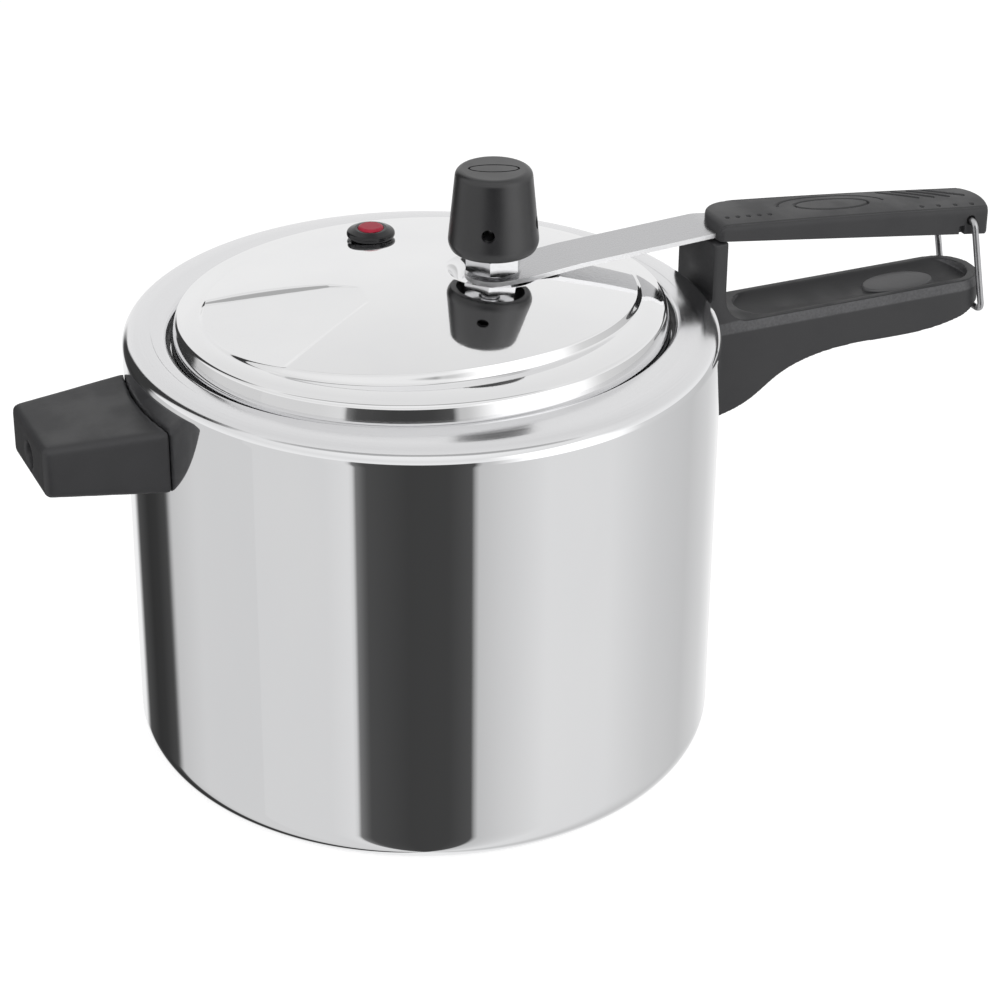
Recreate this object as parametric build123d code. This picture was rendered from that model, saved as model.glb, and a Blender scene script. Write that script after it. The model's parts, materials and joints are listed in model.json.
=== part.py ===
from build123d import *
import math
import os

# Stove-top pressure cooker with an inner oval lid, held shut by a spring lever and a wire bail.
# Millimetres. The pot's axis is Z, its bottom is z = 0, and the long handles run along +X.

# Pot
POT_RADIUS = 120.0
POT_HEIGHT = 183.0
POT_WALL = 2.4
POT_BASE = 3.0
POT_RIM = 3.0
BASE_CORNER = 14.0
BASE_INNER_CORNER = 9.0
SHOULDER = 11.0
MOUTH_X = 103.0
MOUTH_Y = 94.0
MOUTH_EDGE = 1.0

# Lid: an oval pan that hangs below the rim and rises through the mouth
LID_WALL_GAP_X = 1.8
LID_WALL_GAP_Y = 0.8
LID_SHEET = 3.2
LID_LEDGE_Z = 191.0
LID_LEDGE_ROUND = 3.0
LID_FLANGE_REACH = 8.0
LID_FLANGE_THICKNESS = 2.0
GASKET_THICKNESS = 2.0
GASKET_GAP = 0.3
GASKET_SKIRT = 1.5
GASKET_SLACK = 0.5
DOME_RADIUS = 480.0
DOME_TOP_Z = 201.0
PLATEAU_X = 89.5
PLATEAU_Y = 74.0
PLATEAU_ROUND = 1.6
RECESS_OUTLINE = [(-100, 34.5), (-36, 10.8), (-25, 3), (-28, -10), (-100, -57.5)]
RECESS_ROUND = 7.0
RECESS_OUTER_X = -90.0
RECESS_INNER_X = -26.0
RECESS_INNER_Z = 200.2
RECESS_FLOOR_SKIN = 0.05

# Vent stem, its seal, its lock nut and the nut that the lever pulls on
STEM_X = 31.0
STEM_RADIUS = 4.0
STEM_BORE = 1.5
STEM_HEAD_RADIUS = 9.0
STEM_HEAD_HEIGHT = 3.4
STEM_SEAL_RADIUS = 8.5
STEM_SEAL_HEIGHT = 1.0
STEM_TOP_Z = 222.0
STEM_TIP_RADIUS = 2.6
STEM_TIP_LENGTH = 6.0
STEM_PAD_TOP_Z = 194.6
STEM_PAD_LOW_Z = 191.2
DISH_FLOOR_RADIUS = 13.2
DISH_RIM_RADIUS = 18.0
DISH_RIM_Z = 199.8
STRAP_LID_GAP = 0.5
LOCK_NUT_CORNER = 9.0
LOCK_NUT_HEIGHT = 0.9
STRAP_NUT_CORNER = 12.1
STRAP_NUT_LOW_Z = 200.75
STRAP_NUT_TOP_Z = 207.9
NUT_CHAMFER = 0.9
NUT_CHAMFER_REACH = 2.0

# Weight regulator: a black cap over a steel weight with a closing needle
CAP_LOW_Z = 209.3
CAP_TOP_Z = 243.0
CAP_LOW_RADIUS = 17.0
CAP_WIDE_RADIUS = 18.4
CAP_WIDE_RISE = 3.0
CAP_LOW_ROUND = 1.2
CAP_TOP_RADIUS = 15.3
CAP_TOP_ROUND = 3.0
CAP_SHELL = 2.5
CAP_HOLE_RADIUS = 2.65
CAP_HOLE_Z = 221.0
CAP_HOLE_COUNT = 4
CAP_HOLE_AZIMUTH = 239.0
CAP_MARK_LENGTH = 20.6
CAP_MARK_WIDTH = 8.4
CAP_MARK_LINE = 0.8
CAP_MARK_DEPTH = 0.5
CAP_MARK_TURN = -22.5
WEIGHT_RADIUS = 10.5
WEIGHT_LOW_Z = 214.0
WEIGHT_BORE = 4.6
WEIGHT_BORE_TOP_Z = 226.0
NEEDLE_RADIUS = 1.8
NEEDLE_TOP_Z = 234.0
NEEDLE_TIP_GAP = 0.3
NEEDLE_TIP_RADIUS = 0.6
NEEDLE_TIP_LENGTH = 2.2

# Safety valve: a rubber body with a red plug that pops up
VALVE_X = -0.6
VALVE_Y = 53.6
VALVE_PAD_RADIUS = 10.6
VALVE_PAD_TOP_Z = 198.0
VALVE_PAD_LOW_Z = 194.8
VALVE_FOOT_RADIUS = 7.5
VALVE_RADIUS = 10.0
VALVE_WIDE_LOW = 1.1
VALVE_WIDE_HIGH = 3.1
VALVE_ROUND = 1.4
VALVE_TOP_RADIUS = 6.6
VALVE_HEIGHT = 4.4
VALVE_NECK_RADIUS = 5.0
VALVE_LOW_FLANGE_RADIUS = 7.5
VALVE_LOW_FLANGE_HEIGHT = 2.0
VALVE_CUP_RADIUS = 5.5
VALVE_CUP_DEPTH = 3.0
VALVE_BORE = 2.25
PLUG_RADIUS = 5.4
PLUG_CROWN = 0.9
PLUG_ROUND = 1.4
PLUG_STEM_RADIUS = 2.2
PLUG_TRAVEL = 4.0
PLUG_STOP_RADIUS = 3.6
PLUG_STOP_HEIGHT = 1.5

# Spring lever: a flat steel strap and the upper handle on it
STRAP_WIDTH = 23.0
STRAP_THICKNESS = 2.0
STRAP_LINE = [(19.0, 198.0), (42.0, 198.0), (64.0, 200.1), (126.0, 203.2), (217.0, 191.2)]
STRAP_BEND_RADII = [80.0, 80.0, 18.0]
STRAP_STEM_HOLE = 7.0
UPPER_START_X = 125.4
UPPER_END_X = 259.5
UPPER_FRONT_HALF_WIDTH = 15.2
UPPER_HALF_WIDTH = 13.0
UPPER_LOW_FRONT_Z = 201.7
UPPER_LOW_END = (254.5, 183.9)
UPPER_TOP_FRONT_Z = 208.8
UPPER_TOP_END_Z = 195.1
UPPER_CROWN_RADIUS = 120.0
UPPER_NEAR_ROUND = 2.5
UPPER_FAR_ROUND = 22.0
UPPER_END_BULGE = 3.5
UPPER_EDGE_ROUND = 1.2
UPPER_END_CORNER = 3.0
POCKET_SLACK = 0.15
POCKET_FRONT_REACH = 18.0
POCKET_END_ROOM = 2.0
UPPER_SCREW_DISTANCES = [24.0, 74.0]
UPPER_SCREW_RADIUS = 2.0
UPPER_SCREW_REACH = 4.5
UPPER_SCREW_HEAD_RADIUS = 3.6
UPPER_SCREW_HEAD_HEIGHT = 1.8
UPPER_SCREW_HEAD_LOW = 2.4

# Raised and sunk marks on top of the upper handle
MARK_DEPTH = 0.6
MARK_OVAL_CENTRE_X = 186.1
MARK_OVAL_LENGTH = 36.0
MARK_OVAL_WIDTH = 12.0
MARK_OVAL_LINE = 1.0
MARK_ARC_LENGTH = 51.0
MARK_ARC_WIDTH = 19.2
MARK_ARC_LOW_Y = 0.8
MARK_DOT_RADIUS = 0.9
FRONT_DOTS_START = (133.1, -6.4)
FRONT_DOTS_STEP = 5.0
FRONT_DOTS_COUNT = 5
END_DOTS_START = (225.3, -8.5)
END_DOTS_STEP = 8.3
END_DOTS_COUNT = 4
GROOVE_START = (214.5, 10.2)
GROOVE_END = (228.7, 1.0)
GROOVE_STEP = 7.6
GROOVE_COUNT = 4
GROOVE_WIDTH = 2.0

# Wire bail that hangs from the upper handle and hooks under the lower one
BAIL_WIRE = 1.4
BAIL_PIVOT = (247.5, 190.8)
BAIL_BAR = (255.0, 148.5)
BAIL_HALF_WIDTH = 16.0
BAIL_END_DEPTH = 7.0
BAIL_TOP_BEND = 2.6
BAIL_LOW_BEND = 4.0
BAIL_HOLE = 1.45
BAIL_SLOT_X = 243.6
BAIL_SLOT_WIDTH = 2.6
BAIL_SLOT_DEPTH = 3.0
BAIL_SLOT_TOP_Z = 188.2

# Lower handle, screwed to a bracket on the pot's wall
LOWER_HALF_WIDTH = 16.0
LOWER_TOP_Z = 163.8
LOWER_TIP_X = 259.5
LOWER_UNDERSIDE = [(112, 120.8), (130, 122.4), (143, 127.2), (156, 136.0), (172, 141.9),
                   (190, 144.0), (214, 143.7), (237, 145.4), (252.3, 150.3)]
LOWER_BAND = 4.0
LOWER_BAND_INSET = 1.0
POST_FRONT_X = 123.0
POST_BACK_X = 130.0
POST_TOP_Z = 200.6
POST_FILLET = 12.0
POST_FOOT_Z = 176.0
ROOT_GAP = 0.15
TIP_NOTCH_X = 252.3
TIP_NOTCH_Z = 150.7
TIP_NOTCH_FLAT_X = 256.0
TIP_NOTCH_RISE = 0.5
TROUGH_START_X = 143.0
TROUGH_END_X = 254.0
TROUGH_HALF_WIDTH = 12.3
TROUGH_DEPTH = 3.6
PAD_CENTRE_X = 221.5
PAD_LENGTH = 32.0
PAD_WIDTH = 17.0
PAD_TOP_Z = 161.6

# Helper handle on the other side
HELPER_ROOT_X = -112.0
HELPER_END_X = -164.5
HELPER_ROOT_HALF_WIDTH = 30.0
HELPER_END_HALF_WIDTH = 22.5
HELPER_ROOT_LOW_Z = 141.6
HELPER_ROOT_TOP_Z = 169.4
HELPER_END_LOW_Z = 146.3
HELPER_END_TOP_Z = 167.5
HELPER_ROUND = 3.0
HELPER_HOLE_Z = 155.5
HELPER_HOLE_RADIUS = 5.4
HELPER_HOLE_DEPTH = 9.5

# Brackets, rivets and screws
BRACKET_THICKNESS = 2.5
BRACKET_SEAT_GAP = 0.02
HANDLE_BRACKET_HALF_WIDTH = 12.0
HANDLE_BRACKET_LOW_Z = 127.0
HANDLE_BRACKET_TOP_Z = 163.0
LUG_END_X = 156.0
LUG_HALF_WIDTH = 7.0
LUG_LOW_Z = 145.5
LUG_TOP_Z = 150.5
HELPER_BRACKET_HALF_WIDTH = 21.0
HELPER_BRACKET_LOW_Z = 147.0
HELPER_BRACKET_TOP_Z = 164.0
BOSS_RADIUS = 6.0
BOSS_END_X = -138.0
RIVET_RADIUS = 2.5
RIVET_HEAD_RADIUS = 4.5
RIVET_HEAD_HEIGHT = 1.8
RIVET_HEAD_ROUND = 1.4
RIVET_INNER_GAP = 0.12
RIVET_HOLE_SLACK = 0.05
RIVET_HOLE_REACH = 10.0
RIVET_ROOM_SLACK = 0.6
HANDLE_RIVETS = [(0.0, 134.0), (0.0, 157.5)]
HELPER_RIVETS = [(173.0, 155.5), (187.0, 155.5)]
FIT_GAP = 0.15
SCREW_GAP = 0.05
SCREW_END_ROOM = 0.5
HANDLE_SCREW_X = 146.0
HANDLE_SCREW_RADIUS = 2.5
HANDLE_SCREW_TOP_Z = 154.0
HANDLE_SCREW_SEAT_Z = 138.0
SCREW_HEAD_HEIGHT = 3.6
SCREW_HEAD_RADIUS = 4.6
SCREW_SLOT_WIDTH = 1.2
SCREW_SLOT_DEPTH = 1.4
WASHER_RADIUS = 4.9
WASHER_HEIGHT = 1.0
COUNTERBORE_RADIUS = 5.2
HELPER_SCREW_RADIUS = 3.0
HELPER_SCREW_TIP_X = -126.0

# How far cutting shapes reach past what they cut, and how near counts as the same height
BEYOND = 60.0
PAST = 1.0
TIP_PAST = 5.0
WIDE = 360.0
TINY = 0.01


# Shared shapes

def rounded_can(radius, low, high, low_round, high_round):
    """A closed turned body with a rounded lower and upper corner."""
    low_turn = math.sin(math.radians(45)) * low_round
    high_turn = math.sin(math.radians(45)) * high_round
    low_mid = (radius - low_round + low_turn, low + low_round - low_turn)
    high_mid = (radius - high_round + high_turn, high - high_round + high_turn)
    outline = Curve() + [
        Line((0, low), (radius - low_round, low)),
        ThreePointArc((radius - low_round, low), low_mid, (radius, low + low_round)),
        Line((radius, low + low_round), (radius, high - high_round)),
        ThreePointArc((radius, high - high_round), high_mid, (radius - high_round, high)),
        Line((radius - high_round, high), (0, high)),
        Line((0, high), (0, low)),
    ]
    return revolve(make_face(Plane.XZ * outline), Axis.Z)


def turned(outline, x=0.0, y=0.0):
    """A turned piece from (radius, height) corners, about a vertical line at x, y."""
    face = make_face(Plane.XZ * Polyline(*outline, close=True))
    return Pos(x, y, 0) * revolve(face, Axis.Z)


def upright(radius, low, high, x=0.0, y=0.0):
    """A vertical cylinder between two heights."""
    return Pos(x, y, (low + high) / 2) * Cylinder(radius, high - low)


def oval_prism(half_x, half_y, low, high, x=0.0, y=0.0):
    """A vertical prism on an oval."""
    return extrude(Pos(x, y, low) * Ellipse(half_x, half_y), high - low)


def hex_prism(corner, low, high, x=0.0):
    """A vertical hexagonal prism."""
    return extrude(Pos(x, 0, low) * RegularPolygon(corner, 6), high - low)


def along_x(radius, start, end, y=0.0, z=0.0):
    """A cylinder along X between two places."""
    return Pos((start + end) / 2, y, z) * Rot(0, 90, 0) * Cylinder(radius, abs(end - start))


def slab(x_range, half_width, z_range):
    """A box centred on the XZ plane."""
    x_mid = sum(x_range) / 2
    z_mid = sum(z_range) / 2
    size = (x_range[1] - x_range[0], 2 * half_width, z_range[1] - z_range[0])
    return Pos(x_mid, 0, z_mid) * Box(*size)


def side_prism(outline, half_width):
    """A prism across the handles from a closed (x, z) outline."""
    return extrude(make_face(Plane.XZ * outline), half_width, both=True)


# Fixing of the handles to the pot's wall

def rivet_hole(place):
    azimuth, height = place
    inside = POT_RADIUS - RIVET_HOLE_REACH
    hole = along_x(RIVET_RADIUS + RIVET_HOLE_SLACK, inside, POT_RADIUS + RIVET_HOLE_REACH, z=height)
    return Rot(0, 0, azimuth) * hole


def rivet_room(place):
    azimuth, height = place
    reach = POT_RADIUS + BRACKET_THICKNESS + RIVET_HEAD_HEIGHT + RIVET_ROOM_SLACK
    radius = RIVET_HEAD_RADIUS + RIVET_ROOM_SLACK
    room = along_x(radius, POT_RADIUS - RIVET_HOLE_REACH, reach, z=height)
    return Rot(0, 0, azimuth) * room


def rivet(place):
    azimuth, height = place
    inner = POT_RADIUS - POT_WALL - RIVET_INNER_GAP
    outer = POT_RADIUS + BRACKET_THICKNESS + BRACKET_SEAT_GAP
    shank = along_x(RIVET_RADIUS, inner - RIVET_HEAD_HEIGHT, outer, z=height)
    inner_head = along_x(RIVET_HEAD_RADIUS, inner - RIVET_HEAD_HEIGHT, inner, z=height)
    outer_head = along_x(RIVET_HEAD_RADIUS, outer, outer + RIVET_HEAD_HEIGHT, z=height)
    heads = [fillet(inner_head.edges().sort_by(Axis.X)[0], RIVET_HEAD_ROUND)]
    heads.append(fillet(outer_head.edges().sort_by(Axis.X)[-1], RIVET_HEAD_ROUND))
    return Rot(0, 0, azimuth) * (shank + heads)


def wall_plate(half_width, low, high, slack=0.0):
    """A plate bent to the pot's wall, on the +X side."""
    inner = POT_RADIUS + BRACKET_SEAT_GAP - slack
    outer = POT_RADIUS + BRACKET_THICKNESS + slack
    ring = upright(outer, low - slack, high + slack) - upright(inner, low - PAST, high + PAST)
    return ring & slab((0, 2 * POT_RADIUS), half_width + slack, (low - PAST, high + PAST))


def pot_body():
    body = rounded_can(POT_RADIUS, 0, POT_HEIGHT, BASE_CORNER, SHOULDER)
    room = rounded_can(POT_RADIUS - POT_WALL, POT_BASE, POT_HEIGHT - POT_RIM,
                       BASE_INNER_CORNER, SHOULDER - POT_WALL)
    mouth = oval_prism(MOUTH_X, MOUTH_Y, POT_HEIGHT - 2 * POT_RIM, POT_HEIGHT + POT_RIM)
    body = body - room - mouth
    at_top = [e for e in body.edges() if abs(e.center().Z - POT_HEIGHT) < TINY]
    top_edge = [e for e in at_top if e.bounding_box().size.X < 2 * MOUTH_X + PAST]
    body = fillet(top_edge, MOUTH_EDGE)
    for place in HANDLE_RIVETS + HELPER_RIVETS:
        body = body - rivet_hole(place)
    return body


def handle_bracket():
    plate = wall_plate(HANDLE_BRACKET_HALF_WIDTH, HANDLE_BRACKET_LOW_Z, HANDLE_BRACKET_TOP_Z)
    lug = slab((POT_RADIUS + PAST, LUG_END_X), LUG_HALF_WIDTH, (LUG_LOW_Z, LUG_TOP_Z))
    bracket = plate + lug
    bore = upright(HANDLE_SCREW_RADIUS + SCREW_GAP, LUG_LOW_Z - PAST, LUG_TOP_Z + PAST, HANDLE_SCREW_X)
    bracket = bracket - bore
    for place in HANDLE_RIVETS:
        bracket = bracket - rivet_hole(place)
    return bracket


def helper_bracket():
    plate = wall_plate(HELPER_BRACKET_HALF_WIDTH, HELPER_BRACKET_LOW_Z, HELPER_BRACKET_TOP_Z)
    boss = along_x(BOSS_RADIUS, POT_RADIUS + PAST, -BOSS_END_X, z=HELPER_HOLE_Z)
    bore = along_x(HELPER_SCREW_RADIUS + SCREW_GAP, POT_RADIUS + 2 * PAST, PAST - BOSS_END_X, z=HELPER_HOLE_Z)
    bracket = Rot(0, 0, 180) * (plate + boss - bore)
    for place in HELPER_RIVETS:
        bracket = bracket - rivet_hole(place)
    return bracket


def handle_screw():
    low = HANDLE_SCREW_SEAT_Z - WASHER_HEIGHT
    shank = upright(HANDLE_SCREW_RADIUS, low, HANDLE_SCREW_TOP_Z, HANDLE_SCREW_X)
    head = upright(SCREW_HEAD_RADIUS, low - SCREW_HEAD_HEIGHT, low, HANDLE_SCREW_X)
    slot = Box(3 * SCREW_HEAD_RADIUS, SCREW_SLOT_WIDTH, 2 * SCREW_SLOT_DEPTH)
    return shank + head - Pos(HANDLE_SCREW_X, 0, low - SCREW_HEAD_HEIGHT) * slot


def handle_washer():
    low = HANDLE_SCREW_SEAT_Z - WASHER_HEIGHT
    disc = upright(WASHER_RADIUS, low, HANDLE_SCREW_SEAT_Z, HANDLE_SCREW_X)
    bore = upright(HANDLE_SCREW_RADIUS + SCREW_GAP, low - PAST, HANDLE_SCREW_SEAT_Z + PAST, HANDLE_SCREW_X)
    return disc - bore


def helper_seat_x():
    return HELPER_END_X + HELPER_HOLE_DEPTH


def helper_screw():
    head_end = helper_seat_x() - WASHER_HEIGHT
    shank = along_x(HELPER_SCREW_RADIUS, head_end, HELPER_SCREW_TIP_X, z=HELPER_HOLE_Z)
    head = along_x(SCREW_HEAD_RADIUS, head_end - SCREW_HEAD_HEIGHT, head_end, z=HELPER_HOLE_Z)
    slot = Box(2 * SCREW_SLOT_DEPTH, SCREW_SLOT_WIDTH, 3 * SCREW_HEAD_RADIUS)
    return shank + head - Pos(head_end - SCREW_HEAD_HEIGHT, 0, HELPER_HOLE_Z) * slot


def helper_washer():
    seat = helper_seat_x()
    disc = along_x(WASHER_RADIUS, seat - WASHER_HEIGHT, seat, z=HELPER_HOLE_Z)
    bore = along_x(HELPER_SCREW_RADIUS + SCREW_GAP, seat - WASHER_HEIGHT - PAST, seat + PAST, z=HELPER_HOLE_Z)
    return disc - bore


# Handles

def lower_side():
    """Side view of the lower handle: grip, root on the wall and the post that carries the lever."""
    tip = LOWER_UNDERSIDE[-1]
    root_low = LOWER_UNDERSIDE[0]
    end_x = LOWER_TIP_X + TIP_PAST
    grip_start = (POST_BACK_X + POST_FILLET, LOWER_TOP_Z)
    post_foot = (POST_BACK_X, LOWER_TOP_Z + POST_FILLET)
    return Curve() + [
        Spline(*LOWER_UNDERSIDE),
        Polyline(tip, (end_x, tip[1]), (end_x, LOWER_TOP_Z), grip_start),
        RadiusArc(grip_start, post_foot, POST_FILLET),
        Polyline(post_foot, (POST_BACK_X, POST_TOP_Z), (POST_FRONT_X, POST_TOP_Z),
                 (POST_FRONT_X, POST_FOOT_Z), (root_low[0], LOWER_TOP_Z), root_low),
    ]


def lower_plan():
    """Plan of the lower handle with its round tip."""
    tip_centre = LOWER_TIP_X - LOWER_HALF_WIDTH
    plan = Pos(tip_centre / 2, 0) * Rectangle(tip_centre, 2 * LOWER_HALF_WIDTH)
    return plan + Pos(tip_centre, 0) * Circle(LOWER_HALF_WIDTH)


def lower_trough():
    """The hollow along the top of the lower handle."""
    radius = (TROUGH_HALF_WIDTH ** 2 + TROUGH_DEPTH ** 2) / (2 * TROUGH_DEPTH)
    axis_z = LOWER_TOP_Z - TROUGH_DEPTH + radius
    middle = (TROUGH_START_X + TROUGH_END_X) / 2
    length = TROUGH_END_X - TROUGH_START_X
    outline = Pos(middle, 0, LOWER_TOP_Z - BEYOND) * SlotOverall(length, 2 * TROUGH_HALF_WIDTH)
    hollow = along_x(radius, TROUGH_START_X, TROUGH_END_X, z=axis_z) & extrude(outline, 2 * BEYOND)
    return hollow - oval_prism(PAD_LENGTH / 2, PAD_WIDTH / 2, LOWER_TOP_Z - BEYOND, PAD_TOP_Z, PAD_CENTRE_X)


def tip_notch():
    """Room under the tip for the bail's bar, open outwards."""
    end_x = LOWER_TIP_X + TIP_PAST
    outer_z = TIP_NOTCH_Z + TIP_NOTCH_RISE * (end_x - TIP_NOTCH_FLAT_X)
    low_z = TIP_NOTCH_Z - BEYOND
    outline = Polyline((TIP_NOTCH_X, low_z), (TIP_NOTCH_X, TIP_NOTCH_Z), (TIP_NOTCH_FLAT_X, TIP_NOTCH_Z),
                       (end_x, outer_z), (end_x, low_z), close=True)
    return side_prism(outline, 2 * LOWER_HALF_WIDTH)


def lower_fixing_room():
    """Room in the root of the lower handle for its bracket, rivets and screw."""
    room = wall_plate(HANDLE_BRACKET_HALF_WIDTH, HANDLE_BRACKET_LOW_Z, HANDLE_BRACKET_TOP_Z, FIT_GAP)
    room = room + slab((POT_RADIUS - PAST, LUG_END_X + FIT_GAP), LUG_HALF_WIDTH + FIT_GAP,
                       (LUG_LOW_Z - FIT_GAP, LUG_TOP_Z + FIT_GAP))
    seat = HANDLE_SCREW_SEAT_Z
    screw_end = HANDLE_SCREW_TOP_Z + SCREW_END_ROOM
    room = room + upright(HANDLE_SCREW_RADIUS + SCREW_GAP, seat - PAST, screw_end, HANDLE_SCREW_X)
    room = room + upright(COUNTERBORE_RADIUS, seat - BEYOND, seat, HANDLE_SCREW_X)
    for place in HANDLE_RIVETS:
        room = room + rivet_room(place)
    return room


def lower_handle():
    body = side_prism(lower_side(), LOWER_HALF_WIDTH)
    body = body & extrude(lower_plan(), POT_HEIGHT + BEYOND)
    body = body - upright(POT_RADIUS + ROOT_GAP, 0, POT_HEIGHT + BEYOND)
    top = [f for f in body.faces().filter_by(Axis.Z) if abs(f.center().Z - LOWER_TOP_Z) < TINY][0]
    rim = [e for e in top.edges() if e.center().X > POST_BACK_X + POST_FILLET + PAST]
    body = chamfer(rim, LOWER_BAND_INSET, LOWER_BAND, reference=top)
    body = body - lower_trough() - tip_notch()
    return body - lower_fixing_room()


def helper_section(x, half_width, low, high):
    size = Rectangle(2 * half_width, high - low)
    return Plane(origin=(x, 0, (low + high) / 2), x_dir=(0, 1, 0), z_dir=(-1, 0, 0)) * size


def helper_handle():
    root = helper_section(HELPER_ROOT_X, HELPER_ROOT_HALF_WIDTH, HELPER_ROOT_LOW_Z, HELPER_ROOT_TOP_Z)
    end = helper_section(HELPER_END_X, HELPER_END_HALF_WIDTH, HELPER_END_LOW_Z, HELPER_END_TOP_Z)
    body = loft([root, end])
    kept = [e for e in body.edges() if e.center().X < HELPER_ROOT_X - PAST]
    body = fillet(kept, HELPER_ROUND)
    body = body - upright(POT_RADIUS + ROOT_GAP, 0, POT_HEIGHT + BEYOND)
    plate = wall_plate(HELPER_BRACKET_HALF_WIDTH, HELPER_BRACKET_LOW_Z, HELPER_BRACKET_TOP_Z, FIT_GAP)
    body = body - Rot(0, 0, 180) * plate
    body = body - along_x(BOSS_RADIUS + FIT_GAP, -POT_RADIUS, BOSS_END_X - FIT_GAP, z=HELPER_HOLE_Z)
    body = body - along_x(HELPER_SCREW_RADIUS + SCREW_GAP, -POT_RADIUS, HELPER_END_X - PAST, z=HELPER_HOLE_Z)
    body = body - along_x(HELPER_HOLE_RADIUS, helper_seat_x(), HELPER_END_X - PAST, z=HELPER_HOLE_Z)
    for place in HELPER_RIVETS:
        body = body - rivet_room(place)
    return body


# Lid

def lid_oval(grow, low, high):
    """A prism on the oval of the lid's wall, grown outwards."""
    return oval_prism(MOUTH_X - LID_WALL_GAP_X + grow, MOUTH_Y - LID_WALL_GAP_Y + grow, low, high)


def flange_top_z():
    return POT_HEIGHT - POT_RIM - GASKET_GAP - GASKET_THICKNESS


def dome(drop):
    """The large ball whose top is the lid's dome, lowered by a drop."""
    return Pos(0, 0, DOME_TOP_Z - DOME_RADIUS) * Rot(90, 0, 0) * Sphere(DOME_RADIUS - drop)


def lid_recess():
    """A flat tongue pressed into one side of the dome, its floor rising from the ledge."""
    slope = math.degrees(math.atan2(RECESS_INNER_Z - LID_LEDGE_Z, RECESS_INNER_X - RECESS_OUTER_X))
    outline = make_face(FilletPolyline(*RECESS_OUTLINE, radius=RECESS_ROUND, close=True))
    block = Pos(0, 0, BEYOND) * Box(WIDE, WIDE, 2 * BEYOND)
    above_floor = Pos(RECESS_OUTER_X, 0, LID_LEDGE_Z) * Rot(0, -slope, 0) * block
    above_ledge = Pos(0, 0, LID_LEDGE_Z + RECESS_FLOOR_SKIN) * block
    tongue = extrude(Pos(0, 0, LID_LEDGE_Z - PAST) * outline, BEYOND)
    return tongue & above_floor & above_ledge


def flat_pad(body, radius, low, high, x, y):
    """Press a flat round seat into the dome."""
    body = body + upright(radius, low, high, x, y)
    return body - upright(radius, high, high + BEYOND, x, y) - upright(radius, low - BEYOND, low, x, y)


def stem_dish(body):
    """Press a round dish into the dome, in which the stem, its nuts and the strap's end sit."""
    high = DOME_TOP_Z + PAST
    outer = DISH_RIM_RADIUS + LID_SHEET
    pan = turned([(0, STEM_PAD_LOW_Z), (DISH_FLOOR_RADIUS + PAST, STEM_PAD_LOW_Z),
                  (outer, DISH_RIM_Z - LID_SHEET), (outer, high), (0, high)], STEM_X)
    hollow = turned([(0, STEM_PAD_TOP_Z), (DISH_FLOOR_RADIUS, STEM_PAD_TOP_Z),
                     (DISH_RIM_RADIUS, DISH_RIM_Z), (DISH_RIM_RADIUS, high), (0, high)], STEM_X)
    return body + (pan & dome(0)) - hollow - strap_room()


def strap_room():
    """Room in the dome under the strap, where it leaves the dish."""
    drop = STRAP_THICKNESS / 2 + STRAP_LID_GAP
    low_line = [(x, z - drop) for x, z in STRAP_LINE[:3]]
    high = DOME_TOP_Z + PAST
    outline = Polyline(*low_line, (low_line[-1][0], high), (low_line[0][0], high), close=True)
    return side_prism(outline, STRAP_WIDTH / 2 + STRAP_LID_GAP)


def lid():
    low = flange_top_z() - LID_FLANGE_THICKNESS
    wall = lid_oval(0, low, LID_LEDGE_Z)
    wall = fillet(wall.edges().sort_by(Axis.Z)[-1], LID_LEDGE_ROUND)
    flange = lid_oval(LID_FLANGE_REACH, low, flange_top_z())
    plateau = oval_prism(PLATEAU_X, PLATEAU_Y, LID_LEDGE_Z - PAST, DOME_TOP_Z + PAST) & dome(0)
    long_edges = [e for e in plateau.edges() if e.length > PLATEAU_X]
    plateau = fillet([e for e in long_edges if e.center().Z > LID_LEDGE_Z], PLATEAU_ROUND)
    under_ledge = lid_oval(-LID_SHEET, low - PAST, LID_LEDGE_Z - LID_SHEET)
    under_plateau = oval_prism(PLATEAU_X - LID_SHEET, PLATEAU_Y - LID_SHEET, low, DOME_TOP_Z)
    under_plateau = under_plateau & dome(LID_SHEET)
    body = wall + flange + plateau - under_ledge - under_plateau - lid_recess()
    body = stem_dish(body)
    body = flat_pad(body, VALVE_PAD_RADIUS, VALVE_PAD_LOW_Z, VALVE_PAD_TOP_Z, VALVE_X, VALVE_Y)
    body = body - upright(STEM_RADIUS + SCREW_GAP, low, DOME_TOP_Z + PAST, STEM_X)
    return body - upright(VALVE_NECK_RADIUS + SCREW_GAP, low, DOME_TOP_Z + PAST, VALVE_X, VALVE_Y)


def lid_gasket():
    seat = flange_top_z()
    low = seat - LID_FLANGE_THICKNESS
    ring = lid_oval(LID_FLANGE_REACH + GASKET_SKIRT, low, seat + GASKET_THICKNESS)
    ring = ring - lid_oval(LID_FLANGE_REACH + SCREW_GAP, low - PAST, seat)
    return ring - lid_oval(GASKET_SLACK, low - PAST, seat + GASKET_THICKNESS + PAST)


def vent_stem():
    head_top = STEM_PAD_LOW_Z - STEM_SEAL_HEIGHT
    head_low = head_top - STEM_HEAD_HEIGHT
    outline = [(STEM_BORE, head_low), (STEM_HEAD_RADIUS, head_low), (STEM_HEAD_RADIUS, head_top),
               (STEM_RADIUS, head_top), (STEM_RADIUS, STEM_TOP_Z - STEM_TIP_LENGTH),
               (STEM_TIP_RADIUS, STEM_TOP_Z), (STEM_BORE, STEM_TOP_Z)]
    return turned(outline, STEM_X)


def stem_seal():
    low = STEM_PAD_LOW_Z - STEM_SEAL_HEIGHT
    disc = upright(STEM_SEAL_RADIUS, low, STEM_PAD_LOW_Z, STEM_X)
    return disc - upright(STEM_RADIUS + SCREW_GAP, low - PAST, STEM_PAD_LOW_Z + PAST, STEM_X)


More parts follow.
